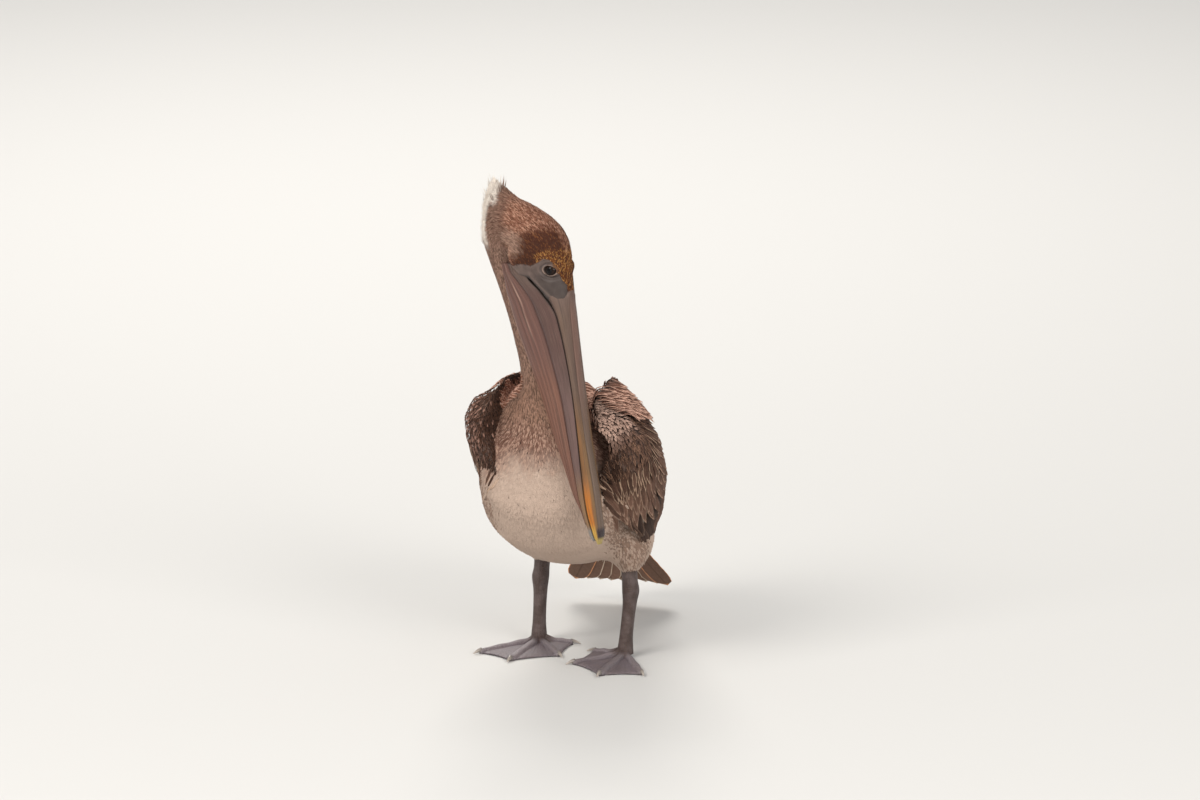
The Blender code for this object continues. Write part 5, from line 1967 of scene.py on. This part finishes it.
            # Painted light and shade: the folds' raised ridges are lightened and their hollows darkened
            tone = blend(tone, HORN.fold_lit, np.clip(folds * 0.55, 0, 0.6))
            tone = blend(tone, HORN.fold_dark, np.clip(-folds * 0.6, 0, 0.6))
            tone = blend(tone, HORN.pouch_seam, smoothstep(0.10, 0.0, fall) * 0.8)
            pale = np.exp(-((fall - 0.42 - 0.10 * math.sin(s / 90)) / 0.018) ** 2) * smoothstep(70, 10, s)
            tone = blend(tone, HORN.streak, pale * 0.8)
            tone = blend(tone, HORN.pouch_edge, smoothstep(0.90, 1.0, fall) * 0.8)
            tones.append(tone)
        return self._loft("throat_pouch", rings, tones, places)

    def build(self) -> list[bpy.types.Object]:
        """Make and dress the three pieces."""
        horn = HornFinish("bill_horn").build()
        upper, lower, pouch = self.upper(), self.lower(), self.pouch()
        upper.data.materials.append(horn)
        lower.data.materials.append(horn)
        folded = HornFinish("pouch_skin", grain=(70.0, 3.0, 1.0), roughness=0.5)
        pouch.data.materials.append(folded.build())
        return [hand_over(upper, ("bill_upper", "bill_nail")),
                hand_over(lower, ("bill_lower",)), hand_over(pouch, ("pouch",))]


# ------------------------------------------------------------------ eyes

@dataclass
class Eyes:
    """Two glossy eyeballs, dark brown with a black pupil."""

    place: Placement
    segments: int = 48
    pupil: float = 4.1
    iris: float = 6.6
    bulge: float = 0.45
    iris_tone: Colour = (0.016, 0.008, 0.005)
    pupil_tone: Colour = (0.004, 0.003, 0.003)

    def build(self) -> list[bpy.types.Object]:
        """Make both eyes."""
        finish = PlainFinish("eye_gloss", roughness=0.08, coat=0.10, gloss=0.10, painted=True).build()
        return [self._eye(word, side, finish) for word, side in (("right", 1), ("left", -1))]

    def _eye(self, word: str, side: int, finish: bpy.types.Material) -> bpy.types.Object:
        """Make one eye, its side +1 for the right, with its pole along the cheek."""
        rings = self.segments // 2
        polar = np.linspace(0, math.pi, rings + 1)[1:-1]
        turn = np.linspace(0, 2 * math.pi, self.segments, endpoint=False)
        out = BALL_RADIUS * np.cos(polar)
        bulge = self.bulge * smoothstep(5.4, 8.5, out)
        ring = BALL_RADIUS * np.sin(polar)
        s = EYE_S + np.outer(ring, np.cos(turn)).ravel()
        d = EYE_D + np.outer(ring, np.sin(turn)).ravel()
        r = side * (BALL_R + np.repeat(out + bulge, self.segments))
        points = HEAD.place(s, d, r)
        poles = HEAD.place([EYE_S, EYE_S], [EYE_D, EYE_D],
                           [side * (BALL_R + BALL_RADIUS + self.bulge), side * (BALL_R - BALL_RADIUS)])
        points = np.concatenate([points, poles])
        count = len(s)
        faces = tube_faces(len(polar), self.segments, capped=False)
        faces += [(count, (k + 1) % self.segments, k) for k in range(self.segments)]
        last = count - self.segments
        faces += [(count + 1, last + k, last + (k + 1) % self.segments) for k in range(self.segments)]
        radius = np.concatenate([np.repeat(np.where(out > 0, ring, 99.0), self.segments), [0.0, 99.0]])
        streak = ripple(points, 0.9, 3.0)
        tone = blend(self.iris_tone, self.pupil_tone,
                     np.clip(smoothstep(self.pupil + 0.3, self.pupil - 0.3, radius)
                             + smoothstep(self.iris - 0.5, self.iris + 0.4, radius), 0, 1))
        tone = tone * (1 + 0.35 * streak[:, None])
        eye = make_piece(f"eyeball_{word}", points, faces, self.place, np.clip(tone, 0.002, 1))
        turn_outwards(eye)
        eye.data.materials.append(finish)
        return hand_over(eye, (f"eye_{word}",))


# ------------------------------------------------------------------ legs and feet

@dataclass(frozen=True)
class FootPlan:
    """Where one foot stands: hub, heading of the middle toe in degrees, ankle and hip."""

    hub: tuple[float, float]
    heading: float
    ankle: tuple[float, float]
    hip: tuple[float, float]


FOOT_PLANS = {
    Side.RIGHT: FootPlan((-57.0, 20.0), -4.0, (-56.0, 24.0), (-52.0, 20.0)),
    Side.LEFT: FootPlan((60.0, -14.0), -2.0, (65.0, -8.0), (62.0, -6.0)),
}


class Toe(NamedTuple):
    """One toe: its bearing from the middle toe in degrees, length and half width."""

    bearing: float
    length: float
    half: float


TOES = {"inner": Toe(-41.0, 72.0, 4.6), "middle": Toe(0.0, 95.0, 5.2), "outer": Toe(32.0, 88.0, 4.8),
        "hind": Toe(-98.0, 42.0, 4.0)}


@dataclass
class Legs:
    """Bare legs with scutes, toes, webs and claws."""

    place: Placement
    web_top: float = 3.2
    web_under: float = 1.0
    columns: int = 150
    rings: int = 44
    claw_length: float = 12.0
    claw_rings: int = 12
    claw_sides: int = 14
    claw_root: Colour = (0.16, 0.14, 0.13)
    claw_tip: Colour = (0.42, 0.37, 0.32)
    lap: float = 9.0

    def _reach(self, bearing: Array) -> Array:
        """Return how far the webbed sole reaches at a bearing from the middle toe."""
        order = sorted(TOES.values())
        stops, reaches = [order[0].bearing - self.lap], [order[0].length * 0.34]
        for (b0, l0, _), (b1, l1, _) in zip(order, order[1:]):
            for k in range(9):
                share = k / 9
                sag = 4 * share * (1 - share)
                near, far = math.radians(b0), math.radians(b1)
                chord = (np.array([math.sin(near), math.cos(near)]) * l0 * (1 - share)
                         + np.array([math.sin(far), math.cos(far)]) * l1 * share)
                stops.append(math.degrees(math.atan2(chord[0], chord[1])))
                reaches.append(float(np.hypot(*chord)) * (1 - 0.055 * sag))
        stops += [order[-1].bearing, order[-1].bearing + self.lap]
        reaches += [order[-1].length, order[-1].length * 0.3]
        return np.interp(bearing, stops, reaches)

    def _foot(self, side: Side) -> tuple[Array, list[tuple[int, ...]], Array, Array]:
        """Return points, faces, tones and scale places of one foot."""
        plan = FOOT_PLANS[side]
        order = sorted(TOES.values())
        bearings = np.linspace(order[0].bearing - self.lap, order[-1].bearing + self.lap, self.columns)
        shares = np.linspace(0.03, 1.0, self.rings)
        reach = self._reach(bearings)
        grid_b, grid_s = np.meshgrid(bearings, shares, indexing="ij")
        radius = grid_s * reach[:, None]
        best = np.full(grid_b.shape, 1e9)
        knuckle = np.zeros(grid_b.shape)
        for bearing, length, half in order:
            off = radius * np.abs(np.sin(np.radians(grid_b - bearing))) / half
            joint = 0.5 + 0.5 * np.cos(2 * np.pi * radius / length * 3.0)
            knuckle = np.where(off < best, joint, knuckle)
            best = np.minimum(best, off)
        ridge = np.sqrt(np.clip(1 - best**2, 0, 1))
        angle = np.radians(plan.heading + side * grid_b)
        x = plan.hub[0] + np.sin(angle) * radius
        y = plan.hub[1] - np.cos(angle) * radius
        seeds = np.full(grid_b.size, 3.0 * side)
        sheet = np.stack([grid_b.ravel() * 1.2, grid_s.ravel() * 10, seeds], axis=1)
        fold = ripple(sheet, 7.0, 7.0).reshape(grid_b.shape)
        crest = ridge * (5.9 - 3.0 * grid_s) * (0.82 + 0.18 * knuckle)
        heel = 9.5 * np.exp(-((radius / 9.0) ** 2))
        top = self.web_top + crest + (1 - ridge) * 0.45 * fold + heel
        rim = smoothstep(0.93, 1.0, grid_s)
        top = top - rim * (top - 1.6) * (1 - ridge * 0.5) * 0.6
        under = np.where(best < 1.0, 0.0, self.web_under)
        upper = np.stack([x, y, top], axis=2)
        lower = np.stack([x, y, under], axis=2)
        points = np.concatenate([upper.reshape(-1, 3), lower.reshape(-1, 3)])
        faces = self._sheet_faces()
        # Painted light: the raised toes are painted paler than the web
        toe_share = smoothstep(0.15, 0.75, ridge) * 0.9
        tone = blend(PALETTE.web, PALETTE.toe, toe_share.ravel() * 0.55)
        tone = blend(tone, PALETTE.leg, smoothstep(24, 10, radius.ravel()))
        # Painted light and shade: the web's folds are lighter on their crests and darker in their hollows
        tone = tone * (1 + 0.18 * fold.ravel()[:, None])
        scale = np.stack([grid_b.ravel() / 5.0, radius.ravel() / 2.6], axis=1)
        # Painted shade: the underside is a darker copy of the top
        return points, faces, np.concatenate([tone, tone * 0.8]), np.concatenate([scale, scale])

    def _sheet_faces(self) -> list[tuple[int, ...]]:
        """Close the upper and lower grids of a foot into one body."""
        cols, rings = self.columns, self.rings
        low = cols * rings
        faces: list[tuple[int, ...]] = []
        for i in range(cols - 1):
            for k in range(rings - 1):
                a, b = i * rings + k, (i + 1) * rings + k
                faces += [(a, b, b + 1, a + 1), (low + a, low + a + 1, low + b + 1, low + b)]
        for i in range(cols - 1):
            a, b = i * rings, (i + 1) * rings
            far_a, far_b = a + rings - 1, b + rings - 1
            faces += [(a, low + a, low + b, b), (far_a, far_b, low + far_b, low + far_a)]
        for k in range(rings - 1):
            last = (cols - 1) * rings
            faces += [(k, k + 1, low + k + 1, low + k),
                      (last + k, low + last + k, low + last + k + 1, last + k + 1)]
        return faces

    def _shank(self, side: Side) -> tuple[Array, list[tuple[int, ...]], Array, Array]:
        """Return points, faces, tones and scale places of one bare leg."""
        plan = FOOT_PLANS[side]
        hub, ankle, hip = (np.array(p) for p in (plan.hub, plan.ankle, plan.hip))
        rows = [(*(hub + (0, 1)), 4.0, 9.4, 10.8), (*(hub + (0, 1)), 11.0, 9.0, 11.0)]
        for z, share, across, deep in ((22, 0.1, 8.0, 10.2), (45, 0.45, 7.6, 9.6), (66, 0.8, 8.4, 10.4)):
            rows.append((*(hub + (0, 1) + (ankle - hub) * share), z, across, deep))
        rows += [(*ankle, 80, 10.0, 12.0), (*((ankle + hip) / 2), 92, 9.2, 10.6), (*hip, 112, 10.0, 11.0)]
        table = spline(rows, 90)
        turn = np.linspace(0, 2 * math.pi, 40, endpoint=False)
        rings, tones, scales = [], [], []
        for x, y, z, across, deep in table:
            front = np.clip(-np.sin(turn), 0, 1)
            step = 0.16 * (abs(((z / 5.2) % 1.0) - 0.5) * 2) * front
            ring = np.stack([x + (across + step) * np.cos(turn), y + (deep + step * 2.2) * np.sin(turn),
                             np.full(len(turn), z)], axis=1)
            rings.append(ring)
            tones.append(blend(PALETTE.leg, PALETTE.leg_pale, front * 0.45))
            scales.append(np.stack([turn * 2.6, np.full(len(turn), z / 2.4)], axis=1))
        return (np.concatenate(rings), tube_faces(len(table), len(turn)), np.concatenate(tones),
                np.concatenate(scales))

    def claws(self) -> list[bpy.types.Object]:
        """Make the claws of each foot, one piece for each toe's node."""
        finish = PlainFinish("claw_horn", roughness=0.35, coat=0.2, painted=True).build()
        made = []
        for side in Side:
            plan = FOOT_PLANS[side]
            for name, (bearing, length, half) in TOES.items():
                angle = math.radians(plan.heading + side * bearing)
                way = np.array([math.sin(angle), -math.cos(angle), 0.0])
                start = np.array([*plan.hub, 0.0]) + way * (length - 3.0)
                across = np.array([-way[1], way[0], 0.0])
                rings, tones = [], []
                turn = np.linspace(0, 2 * math.pi, self.claw_sides, endpoint=False)
                for share in np.linspace(0, 1, self.claw_rings):
                    size = half * 0.62 * (1 - share) ** 0.7 + 0.12
                    centre = start + way * share * self.claw_length + UP * (4.2 - 3.0 * share**2.2)
                    rings.append(centre + np.outer(np.cos(turn) * size * 0.8, across)
                                 + np.outer(np.sin(turn) * size, UP))
                    tones.append(np.tile(blend(self.claw_root, self.claw_tip, share), (self.claw_sides, 1)))
                points = np.concatenate(rings)
                points[:, 2] = np.maximum(points[:, 2], 1.02)
                piece = make_piece(f"nail_{side.word}_{name}", points,
                                   tube_faces(self.claw_rings, self.claw_sides), self.place,
                                   np.concatenate(tones))
                turn_outwards(piece)
                piece.data.materials.append(finish)
                made.append(hand_over(piece, (f"claw_{side.word}_{name}",)))
        return made

    def build(self) -> list[bpy.types.Object]:
        """Make both legs, as bare skin to be joined to the rest."""
        finish = ScaleFinish().build()
        made = []
        for side in Side:
            for part, maker in (("foot", self._foot), ("shank", self._shank)):
                points, faces, tone, scale = maker(side)
                piece = make_piece(f"{part}_{side.word}_skin", points, faces, self.place, tone,
                                   ("Scale", scale))
                store_number(piece.data, "bare", np.ones(len(points)))
                turn_outwards(piece)
                piece.data.materials.append(finish)
                made.append(piece)
        return made


# ------------------------------------------------------------------ coats of small feathers

@dataclass
class Coats:
    """The small feathers of head, neck, breast, belly and crest."""

    plumage: Plumage
    crest_spacing: float = 1.7
    barbs: float = 5.0
    seeds: dict[str, int] = field(default_factory=lambda: {"head": 81, "crest": 91, "neck": 101, "left": 111,
                                                           "right": 121})

    def _finish(self, name: str, **numbers: float) -> bpy.types.Material:
        """Make a finish with the few barbs of a small feather."""
        return FeatherFinish(name, barbs=self.barbs, **numbers).build()

    @staticmethod
    def _off_face(points: Array) -> Array:
        """Tell which places lie outside the bare face and the bill's roots."""
        s, d, r = HEAD.read(points)
        half, jaw, edge = (bill_at(s, column) for column in (1, 4, 5))
        bare = inside(BARE_FACE, s, d) & (np.abs(r) > 6.5) & (d > jaw - 3)
        fall = np.clip((jaw - d) / (jaw - edge), 0, 1)
        pouch = (s > -46) & (d <= jaw) & (d > edge) & (np.abs(r) < half * (0.84 - 0.75 * fall))
        return ~bare & ~pouch & ~((s > 4) & (d > jaw))

    @staticmethod
    def _near_face(points: Array) -> Array:
        """Measure closeness to the bare face, 1 beside it."""
        s, d, r = HEAD.read(points)
        return smoothstep(26, 4, outline_gap(BARE_FACE[:13], s, d)) * smoothstep(3, 9, np.abs(r))

    @staticmethod
    def _seam(points: Array) -> Array:
        """Return the wavering height at which the neck's coat meets the breast's."""
        return 293 + 5 * np.sin(points[:, 0] / 6.0) + 4 * np.sin(points[:, 1] / 4.3)

    @staticmethod
    def _flank(points: Array) -> Array:
        """Measure closeness to the mottled flank, 1 on it."""
        return smoothstep(44, 20, Markings.flank_gap(points))

    def head(self) -> bpy.types.Object:
        """Short speckled feathers, smallest round the eye."""
        def keep(points: Array, normals: Array, region: Array) -> Array:
            """Keep the head down to the arch of the neck."""
            _, reach, away = self.plumage.line.near(points)
            return (reach < 150) & (away < 75) & self._off_face(points) & (points[:, 2] > 400)

        def shape(points: Array, draw: Array) -> tuple[Array, Array, Array]:
            """Lengthen feathers from the face to the nape."""
            _, reach, _ = self.plumage.line.near(points)
            length = (4.0 + 2.0 * smoothstep(40, 130, reach)) * (1 - 0.3 * self._near_face(points))
            length = length * (0.8 + 0.4 * draw)
            return length, length * 0.27, 0.12 + 0.12 * draw

        finish = self._finish("head_feather", rim_start=0.7, tip_start=0.84, shaft=0.05, root=0.75,
                              contrast=0.5)
        return self.plumage.grow("coat_head", keep, lambda p: 0.96 - 0.16 * self._near_face(p), shape,
                                 finish, self.seeds["head"], rim_lift=1.22)

    def crest(self) -> bpy.types.Object:
        """Long pale spikes on the nape and the back of the crown."""
        def keep(points: Array, normals: Array, region: Array) -> Array:
            """Keep the ridge behind the crown, in two tufts at the top."""
            x, y, z = points.T
            nape = (x < -79) & (z > 506)
            tufts = ((z > 560) & (x < -73)) | ((z > 564) & (x > -71) & (x < -63))
            return (nape | tufts) & (np.abs(y + 89) < 13)

        def shape(points: Array, draw: Array) -> tuple[Array, Array, Array]:
            """Make the spikes longest at the top."""
            high = smoothstep(530, 572, points[:, 2])
            length = (6.0 + 2.5 * high) * (0.6 + 0.5 * draw) + 7.0 * high * smoothstep(0.8, 1.0, draw)
            return length, 0.9 + 0.5 * draw, 0.10 + 0.25 * draw

        def flow(points: Array, normals: Array) -> Array:
            """Point up, and outwards lower down the nape."""
            high = smoothstep(535, 572, points[:, 2])
            return unit(blend((-0.62, 0.05, 0.70), (-0.10, 0.05, 1.0), high))

        finish = self._finish("crest_feather", rim_start=0.8, tip_start=0.9, shaft=0.02, root=0.85,
                              contrast=0.3)
        return self.plumage.grow("coat_crest", keep, lambda p: np.full(len(p), self.crest_spacing), shape,
                                 finish, self.seeds["crest"], rim_lift=1.1, flow=flow)

    def neck(self) -> bpy.types.Object:
        """Close, velvety feathers down the neck."""
        def keep(points: Array, normals: Array, region: Array) -> Array:
            """Keep the neck from the arch to the shoulders."""
            _, reach, _ = self.plumage.line.near(points)
            above = points[:, 2] > self._seam(points)
            return (reach >= 146) & above & self._off_face(points) & (region == 0)

        def shape(points: Array, draw: Array) -> tuple[Array, Array, Array]:
            """Lengthen feathers down the neck."""
            low = smoothstep(460, 300, points[:, 2])
            length = (4.6 + 1.2 * low) * (0.8 + 0.4 * draw)
            return length, length * 0.29, 0.06 + 0.06 * draw

        def spacing(points: Array) -> Array:
            """Widen the spacing down the neck."""
            return 1.12 + 0.12 * smoothstep(460, 300, points[:, 2])

        finish = self._finish("neck_feather", rim_start=0.66, tip_start=0.8, shaft=0.04, root=0.88,
                              contrast=0.3)
        return self.plumage.grow("coat_neck", keep, spacing, shape, finish, self.seeds["neck"], rim_lift=1.08)

    def _trunk(self, side: Side) -> bpy.types.Object:
        """Set the soft feathers of breast, belly and flank on one side of the bird."""
        name = f"coat_trunk_{side.word}"

        def keep(points: Array, normals: Array, region: Array) -> Array:
            """Keep the trunk below the neck, outside the wings and the back."""
            x, y, z = points.T
            back = (z > 268 - 0.95 * np.clip(y + 40, 0, 260)) & (normals[:, 2] > -0.05) & (y > -20)
            return (z <= self._seam(points)) & (region == 0) & ~back & (z > 92) & ((x > -8) == (side > 0))

        def shape(points: Array, draw: Array) -> tuple[Array, Array, Array]:
            """Give the belly broader, flatter feathers than the breast."""
            low = smoothstep(300, 235, points[:, 2])
            flank = self._flank(points)
            length = (6.0 + 4.0 * low) * (0.85 + 0.3 * draw) * (1 - 0.36 * flank)
            return length, length * (0.28 + 0.07 * low), 0.03 + 0.03 * draw

        def spacing(points: Array) -> Array:
            """Set the breast closer than the belly."""
            return (1.22 + 0.4 * smoothstep(300, 235, points[:, 2])) * (1 - 0.2 * self._flank(points))

        finish = self._finish(f"{name}_feather", rim_start=0.6, tip_start=0.76, shaft=0.02, root=0.93,
                              contrast=0.25)
        return self.plumage.grow(name, keep, spacing, shape, finish, self.seeds[side.word], rim_lift=1.04,
                                 rise=0.2, sink=0.5)

    def build(self) -> list[bpy.types.Object]:
        """Make every coat and hand it over."""
        return [hand_over(self.head()), hand_over(self.crest()),
                hand_over(self.neck()),
                *(hand_over(self._trunk(side)) for side in Side)]


# ------------------------------------------------------------------ studio

@dataclass(frozen=True)
class Light:
    """One square soft light that faces the bird; places are in metres."""

    name: str
    spot: tuple[float, float, float]
    size: float
    power: float
    colour: Colour
    target: tuple[float, float, float] = (0.0, 0.0, 0.3)

    def build(self) -> None:
        """Add the light."""
        data = bpy.data.lights.new(self.name, "AREA")
        data.size, data.energy, data.color = self.size, self.power, self.colour
        light = bpy.data.objects.new(self.name, data)
        light.location = self.spot
        light.rotation_euler = (Vector(self.spot) - Vector(self.target)).to_track_quat("Z", "Y").to_euler()
        bpy.context.scene.collection.objects.link(light)


@dataclass
class Studio:
    """Pale floor, soft lights and the camera."""

    azimuth: float = 17.0
    elevation: float = 14.0
    lens: float = 500.0
    distance: float = 19.667
    aim: tuple[float, float] = (23.6, 295.0)
    floor_half: float = 14.0
    floor_colour: Colour = (0.62, 0.62, 0.61)
    sky: tuple[float, float, float, float] = (0.92, 0.91, 0.90, 1.0)
    sky_strength: float = 0.55
    lights: tuple[Light, ...] = (
        Light("key", (-1.8, -3.2, 3.4), 2.2, 134.0, (1.0, 0.955, 0.90)),
        Light("fill", (3.2, -2.6, 2.2), 2.4, 100.0, (1.0, 0.965, 0.92)),
        Light("rim", (-1.2, 2.8, 2.8), 1.6, 90.0, (1.0, 0.96, 0.91)),
        Light("low", (-0.2, -3.4, 0.7), 1.6, 12.0, (1.0, 0.96, 0.91)),
    )

    def build(self, place: Placement) -> None:
        """Set up the studio round the bird."""
        self._camera(place)
        self._floor()
        self._world()
        for light in self.lights:
            light.build()

    def _axes(self) -> tuple[Array, Array, Array]:
        """Return the view's right, up and towards-the-camera directions."""
        a, e = math.radians(self.azimuth), math.radians(self.elevation)
        right = np.array([math.cos(a), math.sin(a), 0.0])
        up = np.array([-math.sin(a) * math.sin(e), math.cos(a) * math.sin(e), math.cos(e)])
        return right, up, np.cross(right, up)

    def _camera(self, place: Placement) -> None:
        """Add the camera and make it the scene's."""
        right, up, towards = self._axes()
        target = place.out(right * self.aim[0] + up * self.aim[1])
        data = bpy.data.cameras.new("camera")
        data.lens, data.sensor_width, data.clip_end = self.lens, 36.0, 90.0
        camera = bpy.data.objects.new("camera", data)
        camera.location = Vector(target + towards * self.distance)
        camera.rotation_euler = Vector(towards).to_track_quat("Z", "Y").to_euler()
        bpy.context.scene.collection.objects.link(camera)
        bpy.context.scene.camera = camera

    def _floor(self) -> None:
        """Add a wide pale floor."""
        half = self.floor_half
        corners = [(-half, -half, 0.0), (half, -half, 0.0), (half, half, 0.0), (-half, half, 0.0)]
        mesh = bpy.data.meshes.new("floor")
        mesh.from_pydata(corners, [], [(0, 1, 2, 3)])
        mesh.materials.append(PlainFinish("pale_floor", self.floor_colour, roughness=0.9).build())
        floor = bpy.data.objects.new("floor", mesh)
        bpy.context.scene.collection.objects.link(floor)
        floor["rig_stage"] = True

    def _world(self) -> None:
        """Light the room evenly."""
        world = bpy.data.worlds.new("studio")
        world.use_nodes = True
        back = world.node_tree.nodes["Background"]
        back.inputs["Color"].default_value = self.sky
        back.inputs["Strength"].default_value = self.sky_strength
        bpy.context.scene.world = world
        bpy.context.scene.view_settings.view_transform = "Standard"


# ------------------------------------------------------------------ assembly

def main() -> dict[str, list[list[float]]]:
    """Build the bird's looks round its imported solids.
    """
    logging.basicConfig(level=logging.INFO, format="%(name)s %(message)s")
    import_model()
    cad = [list(corner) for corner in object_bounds()]
    place, line = Placement(), BodyLine()
    markings = Markings(line)

    skin_maker = Skin(place, line, markings)
    skin = skin_maker.build()
    legs = Legs(place)
    skin = join_pieces("skin", [skin] + legs.build())
    bare_legs = [f"{part}_{side.word}" for side in Side for part in ("tarsus", "foot")]
    hand_over(skin, (*FLESH, *bare_legs))

    plumage = Plumage(place, line, markings, skin_maker.hull, CoatTree())
    Coats(plumage).build()
    hand_over(Mantle(plumage).build())
    for side in Side:
        nodes = [f"wing_{side.word}_{group}" for group in WING_GROUPS]
        hand_over(Wing(place, skin_maker.hull, side).build(), nodes)
    hand_over(Tail(place).build(), ("tail",))
    Bill(place).build()
    Eyes(place).build()
    legs.claws()
    Studio().build(place)
    return {"cad": cad, "visual": [list(corner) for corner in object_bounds()]}


if __name__ == "__main__":
    main()
